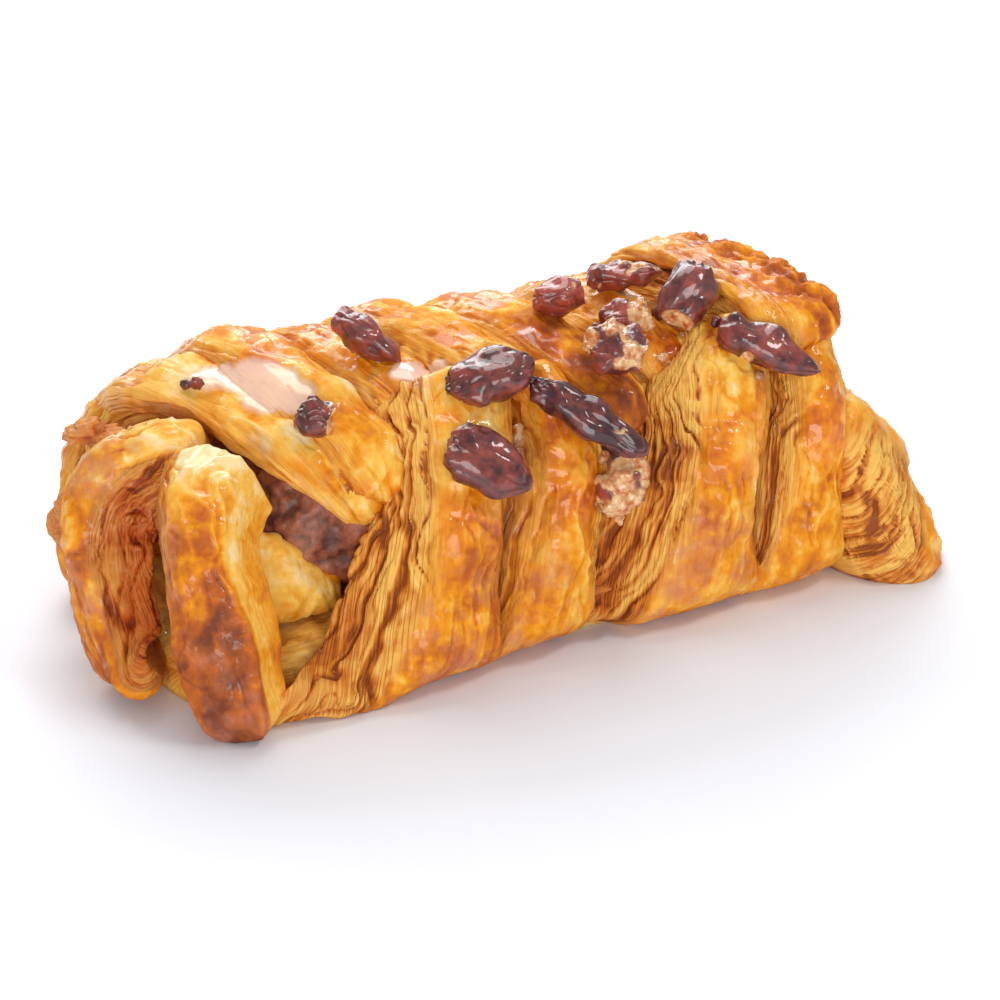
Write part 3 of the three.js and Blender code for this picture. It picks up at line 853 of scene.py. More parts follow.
def grid_normals(points):
    """Normals that face out of a grid of points whose columns close around."""
    along = np.gradient(points, axis=0)
    around = np.roll(points, -1, axis=1) - np.roll(points, 1, axis=1)
    normals = unit(np.cross(along, around))
    outward = np.sum(normals * (points - points.mean(axis=1, keepdims=True)))
    return normals * np.sign(outward)


def gaps(points, seed):
    """Thin lines where a smooth noise changes sign: 1 on a line, falling to 0 beside it."""
    return ramp(GAP_REACH, 0, np.abs(noise(points, 1, seed)))


def drawn_out(along, across, size, seed):
    """Points for a noise that is drawn out along a strip: each way in units of its size."""
    return field(along / size[0], across / size[1], seed)


def sheets(along, depth, side, gap, sizes, seed):
    """Edges of the dough's sheets, from 0 in the gaps to 1: thin gaps along lines that split and merge.

    The depth is warped by broad noise. The gaps follow the lines where two noises, drawn out along the
    strip, change sign; wider lens-shaped gaps open where a third is high, as far as the given gap; and
    others thicken and fray the edges."""
    pitch = millimetres(sizes.sheet_pitch)
    warp = SHEET_WARP * crumple(drawn_out(along, side, SHEET_WARP_SIZE, seed), 1, seed, 2)
    wave = SHEET_WAVE * noise(drawn_out(along, depth, SHEET_WAVE_SIZE, seed), 1, seed + 5)
    level = depth / pitch + warp + wave
    wide = gaps(drawn_out(along, level, WIDE_GAP_SIZE, seed), seed + 9)
    thin = gaps(drawn_out(along, level, THIN_GAP_SIZE, seed), seed + 11)
    opened = ramp(*LENS_SPAN, noise(drawn_out(along, level, LENS_SIZE, seed), 1, seed + 13))
    bundle = noise(drawn_out(along, level, BUNDLE_SIZE, seed), 1, seed + 15)
    frayed = noise(drawn_out(along, level, FRAY_SIZE, seed), 1, seed + 17)
    standing = SHEET_TOP + BUNDLE * bundle + FRAY * frayed
    return standing - WIDE_GAP * wide - THIN_GAP * thin - LENS_GAP * gap * opened


def crust_folds(along, across, seed):
    """Crests of folds along a strip: a noise drawn out along it, sharp where it changes sign."""
    sway = FOLD_SWAY * noise(drawn_out(along, across, FOLD_SWAY_SIZE, seed), 1, seed + 35)
    aside = sway[..., None] * SIDEWAYS
    wide = 1 - np.abs(noise(drawn_out(along, across, WIDE_FOLD_SIZE, seed) + aside, 1, seed + 36))
    thin = 1 - np.abs(noise(drawn_out(along, across, THIN_FOLD_SIZE, seed) + aside, 1, seed + 37))
    return WIDE_FOLD * wide**FOLD_POWER + THIN_FOLD * thin**FOLD_POWER


def crust_relief(points, along, across, sizes, seed):
    """The crust's lumps, its folds and its flake plates with soft stepped edges."""
    lumps = millimetres(sizes.crust_lumps) * crumple(points, LUMP_SIZE, seed, 2)
    lumps = lumps + SMALL_LUMP * crumple(points, SMALL_LUMP_SIZE, seed + 1)
    plate = crumple(points, PLATE_SIZE, seed + 2)
    steps = ramp(*LOW_PLATE_SPAN, plate) + ramp(*HIGH_PLATE_SPAN, plate)
    return lumps + PLATE * steps + FOLD_HEIGHT * crust_folds(along, across, seed)


def crust_cracks(along, across, seed):
    """Short cracks in the crust: lines along the strip, kept where a broad noise is high."""
    sway = CRACK_SWAY * noise(drawn_out(along, across, CRACK_SWAY_SIZE, seed), 1, seed + 45)
    broad = noise(drawn_out(along, across, CRACK_KEPT_SIZE, seed), 1, seed + 46)
    lines = drawn_out(along, across, CRACK_SIZE, seed) + sway[..., None] * SIDEWAYS
    return ramp(*CRACK_KEPT_SPAN, broad) * gaps(lines, seed + 47)


def near_spot(along, angle, lift, sizes):
    """A spot on the loaf's near side, with the directions along the loaf, uphill and out of it."""
    turn = np.radians(np.array([angle - SPOT_STEP, angle, angle + SPOT_STEP]))
    reach, height = section(turn, lift, sizes)
    out, along_way = plan_ways(NEAR)
    climb = unit(np.array([reach[2] - reach[0], height[2] - height[0]]))
    uphill = out * climb[0] + UP * climb[1]
    basis = np.stack([along_way, uphill, np.cross(along_way, uphill)], axis=1)
    return out * reach[1] + UP * height[1] + along_way * along, basis


def glaze_pools(points, sizes):
    """Where the glaze stands in pools: 1 inside uneven blots about the pools' middles."""
    wet = np.full(points.shape[:-1], -1.0)
    for along, angle, long, wide in GLAZE_POOLS:
        middle, basis = near_spot(along, angle, 0, sizes)
        offset = (points - middle) @ basis / np.array([long, wide, POOL_DEPTH])
        wet = np.maximum(wet, 1 - np.linalg.norm(offset, axis=-1))
    uneven = POOL_UNEVEN * crumple(points, POOL_UNEVEN_SIZE, POOL_SEED, 2)
    return ramp(*POOL_SPAN, wet + uneven * (wet > POOL_NEAR))


def strip_rings(strip, seed, sizes):
    """A strip's rings: crust, two cut faces and underside, set across and above its middle line.

    The rings shrink on a blunt curve towards both ends, where they also sink in."""
    row = np.linspace(0, 1, STRIP_ROWS)
    share = row - ROW_CROWDING * np.sin(2 * np.pi * row) / (2 * np.pi)
    spot, facing = strip_line(strip, share, sizes)
    after = strip_line(strip, share + LINE_STEP, sizes)[0]
    before = strip_line(strip, share - LINE_STEP, sizes)[0]
    ahead = unit(after - before)
    across_way = unit(np.cross(ahead, facing))
    along_way = plan_ways(strip.heading)[1]
    across_way = across_way * np.sign(np.sum(across_way * along_way, axis=-1, keepdims=True))
    above_way = unit(facing - ahead * np.sum(ahead * facing, axis=-1, keepdims=True))
    ends = strip_line(strip, np.array([0.0, 0.5]), sizes)[0]
    length = 2 * np.linalg.norm(ends[1] - ends[0])
    tip_round = TUCKED_TIP_ROUND if strip.heading == BACK else TIP_ROUND
    near_end = np.minimum(share * length / FOOT_ROUND, (1 - share) * length / tip_round)
    near_end = np.clip(near_end, 0, 1)
    full = (1 - (1 - near_end) ** END_POWER) ** (1 / END_POWER)
    half, lean_right, lean_left, rise, thick, hidden = ring_weights()
    sway = noise(field(share * length / EDGE_SWAY_RUN, 0 * share, seed), 1, seed + 41)
    crust_row = (through(strip.crust, share) + EDGE_SWAY * sway) * full / 2
    thick_row = through(strip.thick, share) * full
    rise_row = CROWN_RISE * strip.looks.dome * full * mix(FOOT_DOME, 1, ramp(*FOOT_SPAN, share))
    left_row = through(strip.left, share) * full
    right_row = through(strip.right, share) * full
    sunk = (1 - full) * through(strip.thick, share) / 2
    across = np.outer(crust_row, half) + np.outer(right_row, lean_right) + np.outer(left_row, lean_left)
    above = np.outer(rise_row, rise) + np.outer(thick_row, thick)
    points = spot[:, None, :] + across[..., None] * across_way[:, None, :]
    points = points + (above - sunk[:, None])[..., None] * above_way[:, None, :]
    along = np.broadcast_to((share * length)[:, None], above.shape)
    beside = across / np.maximum(crust_row, 1)[:, None]
    return Rings(points, along, across, -above, beside, share[:, None], full[:, None], hidden)


def strip_bark(rings, looks, cut, seed):
    """Bark at the left of a crust, 1 where it shows, and its fibres, parted by gaps that sway."""
    ragged = BARK_RAGGED * noise(drawn_out(rings.along, rings.across, BARK_RAGGED_SIZE, seed), 1, seed)
    edge = rings.beside + ragged + 1 - 2 * looks.bark
    bark = ramp(*BARK_SPAN, edge) * min(1, BARK_STEEP * looks.bark)
    bark = bark * ramp(*BARK_FROM, rings.share) * (1 - cut)
    run = field(rings.along / FIBRE_SWAY_RUN, 0 * rings.along, seed)
    swayed = rings.across + FIBRE_SWAY * noise(run, 1, seed + 33)
    wide = gaps(drawn_out(rings.along, swayed, WIDE_FIBRE_SIZE, seed), seed + 31)
    thin = gaps(drawn_out(rings.along, swayed, THIN_FIBRE_SIZE, seed), seed + 32)
    return bark, FIBRE_TOP - WIDE_FIBRE * wide - THIN_FIBRE * thin


def strip_net(rings, looks, lift, seed):
    """The net of holes on a crust, 1 where it lies, and its pits: 1 in the middle of a bubble's cell."""
    ragged = NET_RAGGED * noise(rings.points, NET_RAGGED_SIZE, seed + 52)
    net = looks.holes * ramp(*NET_SPAN, rings.beside + ragged) * ramp(*NET_FROM, rings.share)
    shifted = rings.points + HOLE_SHIFT * field(0 * lift, lift, lift)
    return net, ramp(*HOLE_SPAN, bubbles(shifted, HOLE_CELL, seed + 51))


def cut_toast_and_shade(rings, looks):
    """How far a strip's cut faces are baked: by their side, more low down, less high up, with painted shade
    deep in.
    """
    toast = mix(looks.left_toast, looks.right_toast, ramp(*SIDE_SPAN, rings.across))
    low_down = LOW_TOAST * (1 - ramp(*LOW_TOAST_SPAN, rings.share))
    low_down = low_down - HIGH_PALE * ramp(*HIGH_PALE_SPAN, rings.share)
    toast = toast + low_down * looks.left_sheets
    # Painted shade, darker the deeper the cut face lies.
    return toast + DEEP_SHADE * ramp(*DEEP_SHADE_SPAN, rings.depth)


def tuck_under(points):
    """Draws the loaf's sides in towards the table, on a curve that starts at the height of the tuck."""
    under = (1 - np.clip(points[..., 2] / TUCK_HEIGHT, 0, 1)) ** 2
    drawn = TUCK_DEPTH * under * ramp(*TUCK_SIDES, np.abs(points[..., 1]))
    drawn = drawn * ramp(*TUCK_FROM, points[..., 0])
    tucked = points.copy()
    tucked[..., 1] -= np.sign(points[..., 1]) * drawn
    return tucked


def strip_surface(strip, seed, sizes):
    """A strip: its rings, pushed along their normals by the crust's relief or by the sheets of its cuts.

    The relief of the crust is calm at the foot, bark and the net of holes lie on it, and the pools of
    glaze smooth it. Near and back strips are tucked under at the table."""
    rings = strip_rings(strip, seed, sizes)
    points, along, across, depth, beside, share, full, hidden = rings
    looks = strip.looks
    normals = grid_normals(points)
    cut = ramp(*CUT_SPAN, depth) * (1 - hidden)
    layers = mix(looks.left_sheets, looks.right_sheets, ramp(*SIDE_SPAN, across))
    side = across + SIDES_APART * np.sign(across)
    gap = mix(LOW_GAP, HIGH_GAP, ramp(*GAP_SPAN, share))
    bark, fibre = strip_bark(rings, looks, cut, seed)
    lift = mix(sheets(along, depth, side, gap, sizes, seed), fibre, bark)
    face = np.maximum(cut * np.minimum(1, SHEETS_SHOWN * layers), BARK_SHOWN * bark)
    cracks = crust_cracks(along, across, seed)
    calm = mix(FOOT_CALM, 1, ramp(*FOOT_SPAN, share))
    crust = crust_relief(points, along, across, sizes, seed) - CRACK_DEPTH * cracks
    relief = crust * calm * (1 - cut) + (fibre - FIBRE_LEVEL) * bark
    relief = relief + millimetres(sizes.sheet_relief) * (lift - SHEET_LEVEL) * cut * layers
    net, pits = strip_net(rings, looks, lift, seed)
    relief = (relief - net * (HOLE_DEPTH * pits - HOLE_RIM)) * full
    pool = glaze_pools(points, sizes) * (1 - hidden)
    relief = mix(relief, POOL_SMOOTH * relief + POOL_RISE, pool)
    points = points + relief[..., None] * normals
    points[..., 2] = np.maximum(points[..., 2], TABLE_GAP)
    of_end = strip.heading not in (NEAR, BACK)
    if not of_end:
        points = tuck_under(points)
    height = points[..., 2]
    folds = crust_folds(along, across, seed)
    toast = through(strip.toast, share) + TABLE_TOAST * (1 - ramp(*TABLE_TOAST_SPAN, height))
    # Painted highlight along the crust's edges.
    toast = toast - EDGE_HIGHLIGHT * ramp(*EDGE_HIGHLIGHT_SPAN, np.abs(beside)) * (1 - cut)
    # The net of holes is baked darker, with painted shade in its pits.
    toast = toast + net * (HOLE_SHADE * pits + NET_TOAST)
    # Painted shade in fold valleys and in cracks, and a painted highlight on fold crests.
    toast = toast + (FOLD_SHADE_AND_HIGHLIGHT * calm * (FOLD_LEVEL - folds) + CRACK_SHADE * cracks) * (1 - cut)
    toast = mix(toast, cut_toast_and_shade(rings, looks), cut)
    patches = ramp(*WET_SPAN, crumple(points, WET_SIZE, seed + 21))
    wet = patches * ramp(*WET_HEIGHTS, height) * (1 - NET_DRY * net)
    blush = ramp(*BLUSH_SPAN, crumple(points, BLUSH_SIZE, seed + 61)) * (1 - cut)
    blush = blush * ramp(looks.blush, looks.blush - BLUSH_FADE, height)
    return points, {
        "face": face * (1 - net), "layer": np.clip(lift, 0, 1), "toast": toast,
        "glaze": np.maximum(GLAZE_COAT * wet, pool),
        "syrup": (END_SYRUP if of_end else SYRUP) * wet * (1 - cut), "pool": pool, "blush": blush,
        "grain": field(along, across + depth * np.sign(across), seed * GRAIN_APART)}


def ball(rows, columns):
    """A grid on a ball of radius one, from pole to pole along X."""
    pole = np.linspace(0, np.pi, rows)[:, None]
    turn = np.linspace(0, 2 * np.pi, columns, endpoint=False)
    return field(-np.cos(pole) + 0 * turn, np.sin(pole) * np.sin(turn), np.sin(pole) * np.cos(turn))


def strip_points():
    """All points of the dough's strips, in loaf millimetres."""
    found = []
    for made in bpy.data.objects:
        if made.name.startswith("plait_strip_"):
            flat = np.empty(3 * len(made.data.vertices), dtype=np.float32)
            made.data.vertices.foreach_get("co", flat)
            found.append(flat.reshape(-1, 3) / METRES + CENTRE)
    return np.concatenate(found)


def settle(middle, out, carriers):
    """A spot moved along its outward direction to the top of the carriers' points around its line."""
    offset = carriers - middle
    height = offset @ out
    beside = np.linalg.norm(offset - height[:, None] * out, axis=1)
    under = (beside < SETTLE_REACH) & (np.abs(height) < SETTLE_DEPTH)
    return middle + out * np.max(height[under], initial=-SETTLE_DEPTH)


def crumb_surfaces(sizes):
    """Crumbs: lumpy balls pressed into the strips at named spots of the near side."""
    carriers = strip_points()
    round_ball = ball(CRUMB_ROWS, CRUMB_COLUMNS)
    grids = []
    bare = []
    for number, (along, angle, size, pale) in enumerate(CRUMBS):
        middle, basis = near_spot(along, angle, 0, sizes)
        middle = settle(middle, basis[:, 2], carriers)
        rough = crumple(round_ball + number * CRUMB_APART, CRUMB_LUMP_SIZE, CRUMB_SEED + number, 2)
        lumps = 1 + CRUMB_LUMPS * rough
        grids.append(middle + (round_ball * lumps[..., None] * size / 2) @ basis.T)
        bare.append(np.full(round_ball.shape[:2], float(pale)))
    bare = np.array(bare)
    return np.array(grids), {"bare": bare, "tone": CRUMB_TONE + 0 * bare, "groove": 0 * bare}


def burr_surfaces():
    """The torn lumps at the open end: balls roughened by crumples and terraced like flakes."""
    round_ball = ball(BURR_ROWS, BURR_COLUMNS)
    grids = []
    layers = []
    for number, (place, half) in enumerate(BURRS):
        seed = BURR_SEED + number
        reach = 1 + BURR_ROUGH * crumple(round_ball, BURR_ROUGH_SIZE, seed, 4)
        rise = noise(round_ball * BURR_TERRACE_WAY, 1, seed + 10)
        terrace = BURR_TERRACE * ramp(*BURR_TERRACE_SPAN, rise)
        grids.append(np.array(place) + round_ball * (reach + terrace)[..., None] * np.array(half))
        # The layer follows how far the surface stands out, so the hollows take the sheets' painted shade.
        layers.append(np.clip(BURR_LAYER * reach + terrace, 0, 1))
    points = np.array(grids)
    layer = np.array(layers)
    return points, {
        "face": BURR_FACE + 0 * layer, "layer": layer, "toast": BURR_TOAST + 0 * layer, "glaze": 0 * layer,
        "blush": BURR_BLUSH + 0 * layer, "grain": points}


def crowded(rows):
    """Shares from 0 to 1 that crowd towards both ends, along half a cosine wave."""
    return 0.5 - 0.5 * np.cos(np.linspace(0, np.pi, rows))


def blunt_ring(columns, bluntness):
    """A superellipse of radius one: how far out and up each of its columns lies."""
    turn = np.linspace(0, 2 * np.pi, columns, endpoint=False)
    out = np.sign(np.cos(turn)) * np.abs(np.cos(turn)) ** bluntness
    up = np.sign(np.sin(turn)) * np.abs(np.sin(turn)) ** bluntness
    return out, up


def log_surface(log, carry):
    """A log: a superellipse ring swept along X, narrowed near its ends and closed on a point at each."""
    left, right = log.ends
    run = mix(left, right, crowded(log.rows))
    to_end = np.abs(2 * (run - left) / (right - left) - 1)
    full = mix(1, log.end_share, to_end**LOG_END_POWER)
    full = full * (1 - to_end**LOG_CLOSE_POWER) ** 0.5
    out, up = blunt_ring(log.columns, 2 / log.power)
    middle = (log.floor + log.top) / 2
    tall = (log.top - log.floor) / 2
    y = np.outer(full * log.half_width, out)
    z = middle + np.outer(full * tall, up)
    x = np.broadcast_to(run[:, None], y.shape)
    return carry(x, y, z)


def lie_straight(x, y, z):
    """The log as it is."""
    return field(x, y, z)


def lie_across(x, y, z):
    """The log turned across the loaf's far end, cut off at the table, leaning in towards its top."""
    height = np.maximum(z, 0)
    rise = height / ROLL.top
    narrowed = y * mix(ROLL_FOOT, 1, z >= 0) * (1 - ROLL_PEAK * rise**2)
    lean = ROLL_LEAN * (1 + ROLL_NEAR_LEAN * ramp(*ROLL_NEAR_SPAN, x))
    return field(ROLL_MIDDLE - narrowed - lean * rise, x, height)


def base_surface(sizes):
    """The base: a flat log cut off at the table, with sheet edges along its sides."""
    points = log_surface(BASE, lie_straight)
    normals = grid_normals(points)
    lift = sheets(points[..., 0], points[..., 2], points[..., 1], BASE_GAP, sizes, BASE_SEED)
    edge = ramp(*BASE_EDGE_SPAN, points[..., 2])
    points = points + (BASE_SHEETS * (lift - CUT_LEVEL) * edge)[..., None] * normals
    lumps = BASE_LUMPS * crumple(points, BASE_LUMP_SIZE, BASE_SEED + 1)
    points = points + (lumps * edge)[..., None] * normals
    points[..., 2] = np.maximum(points[..., 2], 0.0)
    return points, {
        "face": BASE_FACE * edge, "layer": np.clip(lift, 0, 1), "toast": np.full(lift.shape, BASE_TOAST),
        "glaze": 0 * lift, "grain": field(points[..., 0], points[..., 1] + points[..., 2], BASE_GRAIN)}


def roll_surface(sizes):
    """The far roll: a log across the end, crusted outside, its ends cut through its sheets.

    Outside, a wavy seam runs along it: the crust above the seam steps out, and the seam is sunk and darkened
    with painted shade."""
    points = log_surface(ROLL, lie_across)
    run = field(points[..., 1] / ROLL_WAVE_RUN, 0 * points[..., 0], 0)
    points[..., 2] *= 1 + ROLL_WAVE * noise(run, 1, ROLL_SEED)
    normals = grid_normals(points)
    x, y, z = points[..., 0], points[..., 1], points[..., 2]
    beyond = x - ROLL_CORE[0]
    over = z - ROLL_CORE[1]
    end = np.maximum(ramp(*ROLL_NEAR_CUT, y), ramp(*ROLL_BACK_CUT, y))
    slant = ROLL_SLANT[0] * beyond + ROLL_SLANT[1] * over
    outer = ROLL_OUTER[0] * beyond + ROLL_OUTER[1] * over
    depth = (slant + ROLL_SHEETS_FROM) * ROLL_SHEETS_SCALE
    lift = sheets(x + z, depth, y, ROLL_GAP, sizes, ROLL_SEED + 2)
    ragged = ROLL_SKIN_RAGGED * noise(points, ROLL_SKIN_SIZE, ROLL_SEED + 3)
    face = end * (1 - ramp(*ROLL_SKIN_SPAN, outer + ragged))
    wave = crumple(field(y / ROLL_SEAM_RUN, 0 * x, 0), 1, ROLL_SEED + 5, 2)
    above_seam = z - ROLL_SEAM_HEIGHT - ROLL_SEAM_WAVE * wave
    outside = ramp(*ROLL_OUTSIDE_SPAN, x)
    seam = ramp(*ROLL_SEAM_SPAN, np.abs(above_seam)) * outside
    step = ramp(*ROLL_STEP_SPAN, above_seam) * outside
    crust = crust_relief(points, y, x + z, sizes, ROLL_SEED + 4) + ROLL_STEP * step - ROLL_SEAM_DEPTH * seam
    relief = crust * (1 - face) + ROLL_SHEETS * (lift - SHEET_LEVEL) * face
    points = points + (relief * ramp(*ROLL_TABLE_SPAN, z))[..., None] * normals
    points[..., 2] = np.maximum(points[..., 2], 0.0)
    toast = mix(ROLL_TOAST, ROLL_CUT_TOAST, face) + ROLL_LOW_TOAST * (1 - ramp(*ROLL_LOW_SPAN, z))
    # Painted shade in the sunk seam.
    toast = toast + ROLL_SEAM_SHADE * seam
    toast = toast + ROLL_MOTTLE * noise(points, ROLL_MOTTLE_SIZE, ROLL_SEED + 6)
    return points, {
        "face": face, "layer": np.clip(lift + ROLL_LAYER, 0, 1), "toast": toast,
        "glaze": ROLL_GLAZE + 0 * z, "grain": field(x + z, slant, ROLL_GRAIN)}


def skirt_surface(skirt, seed):
    """The sheet below the slits: an upright slab along the loaf that leans in towards a wavy top edge."""
    share = crowded(SKIRT_ROWS)
    run = mix(skirt.ends[0], skirt.ends[1], share)
    to_end = np.abs(2 * share - 1)
    full = (1 - to_end**SKIRT_END_POWER) ** 0.5
    out, up = blunt_ring(SKIRT_COLUMNS, 2 / SKIRT_POWER)
    wave = noise(field(run / SKIRT_WAVE_RUN, 0 * run, seed), 1, seed)
    top = (skirt.top + SKIRT_WAVE * wave) * full * mix(SKIRT_LOW_END, 1, ramp(*SKIRT_LOW_SPAN, share))
    z = np.outer(top / 2, 1 + up)
    sway = SKIRT_SWAY * noise(field(run / SKIRT_SWAY_RUN, 0 * run, seed), 1, seed + 5)
    outside = mix(skirt.outside[0], skirt.outside[1], share) + sway
    middle = outside + SKIRT_THICK / 2
    y = middle[:, None] + np.outer(full * SKIRT_THICK / 2, out)
    y = y + SKIRT_LEAN * (z / skirt.top) ** 2
    points = field(np.broadcast_to(run[:, None], y.shape), y, z)
    normals = grid_normals(points)
    relief = SKIRT_LUMPS * crumple(points, SKIRT_LUMP_SIZE, seed + 1, 2)
    relief = relief + SKIRT_ROUGH * crumple(points, SKIRT_ROUGH_SIZE, seed + 2, 2)
    points = points + relief[..., None] * normals
    points[..., 2] = np.maximum(points[..., 2], TABLE_GAP)
    points = tuck_under(points)
    toast = SKIRT_TOAST + SKIRT_LOW_TOAST * (1 - ramp(*SKIRT_LOW_TOAST_SPAN, z))
    toast = toast + SKIRT_MOTTLE * noise(points, SKIRT_MOTTLE_SIZE, seed + 3)
    zero = 0 * z
    return points, {
        "face": zero, "layer": zero, "toast": toast, "glaze": SKIRT_GLAZE + zero,
        "grain": field(z, points[..., 0], SKIRT_GRAIN)}


def tongue_surface(sizes):
    """The tongue: a thin tapering slab from its root to its tip, rounded at the tip."""
    row = np.linspace(0, 1, TONGUE_ROWS)
    share = 0.5 - 0.5 * np.cos(np.pi * row)
    ahead = unit(TONGUE_TIP - TONGUE_ROOT)
    across_way = unit(np.cross(ahead, TONGUE_FACING))
    above_way = np.cross(across_way, ahead)
    above_way = above_way * np.sign(above_way @ TONGUE_FACING)
    toward = np.clip((share - TONGUE_ROUND_FROM) / (1 - TONGUE_ROUND_FROM), 0, 1)
    full = mix(TONGUE_TIP_SHARE, 1, np.sqrt(1 - toward**2))
    blunt = np.clip(1 - (2 * np.abs(row - 0.5)) ** TONGUE_BLUNT_POWER, 0, 1) ** 0.5
    width = mix(TONGUE_WIDTH[0], TONGUE_WIDTH[1], share) / 2 * full * blunt
    thick = TONGUE_THICK / 2 * full * blunt
    out, up = blunt_ring(TONGUE_COLUMNS, TONGUE_RING)
    across = np.outer(width, out)
    middle = TONGUE_ROOT + share[:, None] * (TONGUE_TIP - TONGUE_ROOT) - TONGUE_THICK / 2 * above_way
    points = middle[:, None, :] + across[..., None] * across_way
    points = points + np.outer(thick, up)[..., None] * above_way
    normals = grid_normals(points)
    along = np.broadcast_to(share[:, None] * TONGUE_RUN, points.shape[:-1])
    lift = sheets(along, np.outer(thick, 1 - up), across, TONGUE_GAP, sizes, TONGUE_SEED)
    face = np.broadcast_to(ramp(*TONGUE_CUT_SPAN, up), lift.shape)
    crust = TONGUE_CRUST * crust_relief(points, along, across, sizes, TONGUE_SEED + 1)
    relief = crust * (1 - face) + TONGUE_SHEETS * (lift - CUT_LEVEL) * face
    points = points + relief[..., None] * normals
    toast = np.broadcast_to(mix(TONGUE_TOAST[0], TONGUE_TOAST[1], share)[:, None], lift.shape)
    return points, {
        "face": face, "layer": np.clip(lift, 0, 1), "toast": toast, "glaze": 0 * lift,
        "grain": field(along, across, TONGUE_GRAIN)}


def filling_surface():
    """The filling: a log roughened by lumps and by a heap of grains."""
    points = log_surface(FILLING, lie_straight)
    normals = grid_normals(points)
    grain = bubbles(points, FILLING_GRAIN_SIZE, FILLING_SEED)
    lumps = crumple(points, FILLING_LUMP_SIZE, FILLING_SEED + 1, 4)
    relief = FILLING_LUMPS * lumps + FILLING_GRAIN * (FILLING_GRAIN_LEVEL - grain)
    points = points + relief[..., None] * normals
    # The heap is low in the hollows between grains, where the material paints shade.
    return points, {"heap": np.clip(FILLING_HEAP - grain + FILLING_HEAP_LUMPS * lumps, 0, 1)}


def pecan_surface(pecan, seed, sizes):
    """A pecan piece: a tapering ball with a furrow and long wrinkles, cut off flat where it is broken."""
    pole = np.linspace(0, np.pi, PECAN_ROWS)
    turn = np.linspace(0, 2 * np.pi, PECAN_COLUMNS, endpoint=False)
    length = np.minimum(-np.cos(pole), pecan.cut)[:, None]
    furrow = PECAN_GROOVE * np.cos(turn / 2) ** PECAN_GROOVE_POWER
    wave = np.sin(PECAN_LUMP_TURNS * turn + PECAN_LUMP_RUN * length + seed)
    segments = PECAN_SEGMENTS * np.cos(np.pi * pecan.lumps * length + np.sin(2 * turn) + seed)
    girth = np.sin(pole)[:, None] * (1 - pecan.taper * length) * (1 - furrow + PECAN_LUMPS * wave + segments)
    half = np.array(pecan.size) / 2
    shape = field(length + 0 * girth, girth * np.sin(turn), girth * np.cos(turn)) * half
    normals = grid_normals(shape)
    stretched = shape * PECAN_STRETCH + seed * PECAN_APART
    wrinkle = (1 - np.abs(crumple(stretched, WRINKLE_SIZE, seed, 2))) ** WRINKLE_POWER
    rough = mix(SMOOTH_SKIN, 1, min(pecan.lumps, MOST_LUMPS) - 1)
    broken = ramp(pecan.cut - BREAK_EDGE, pecan.cut, -np.cos(pole))[:, None] * (pecan.cut < 1)
    blotch = crumple(shape + seed * BARE_APART, BARE_SIZE, seed + 3)
    patch = ramp(*BARE_SPAN, blotch + BARE_SHARE * pecan.bare - BARE_LEVEL)
    bare = np.maximum(broken + 0 * girth, patch)
    flesh = FLESH_ROUGH * crumple(shape, FLESH_SIZE, seed + 7, 4) - FLESH_DEPTH
    lumps = SKIN_LUMPS * crumple(shape + seed, SKIN_LUMP_SIZE, seed + 5, 2)
    lumps = lumps + SKIN_GRAIN * crumple(shape, SKIN_GRAIN_SIZE, seed + 8, 2)
    relief = -WRINKLE_DEPTH * rough * wrinkle * (1 - bare) + bare * flesh + rough * lumps
    ragged = ramp(*RAGGED_SPAN, length) * crumple(shape * RAGGED_STRETCH, RAGGED_SIZE, seed + 9)
    relief = (relief + RAGGED_END * ragged) * np.clip(np.sin(pole) * POLE_CALM, 0, 1)[:, None]
    shape = shape + relief[..., None] * normals
    place, basis = near_spot(pecan.along, pecan.angle, pecan.lift, sizes)
    spin = Matrix.Rotation(np.radians(pecan.turn), 3, "Z") @ Matrix.Rotation(np.radians(-pecan.tip), 3, "Y")
    points = shape @ (basis @ np.array(spin)).T + place
    # The wrinkles carry painted shade in the material.
    return points, {"bare": bare, "tone": np.full(bare.shape, pecan.tone), "groove": wrinkle + 0 * bare}


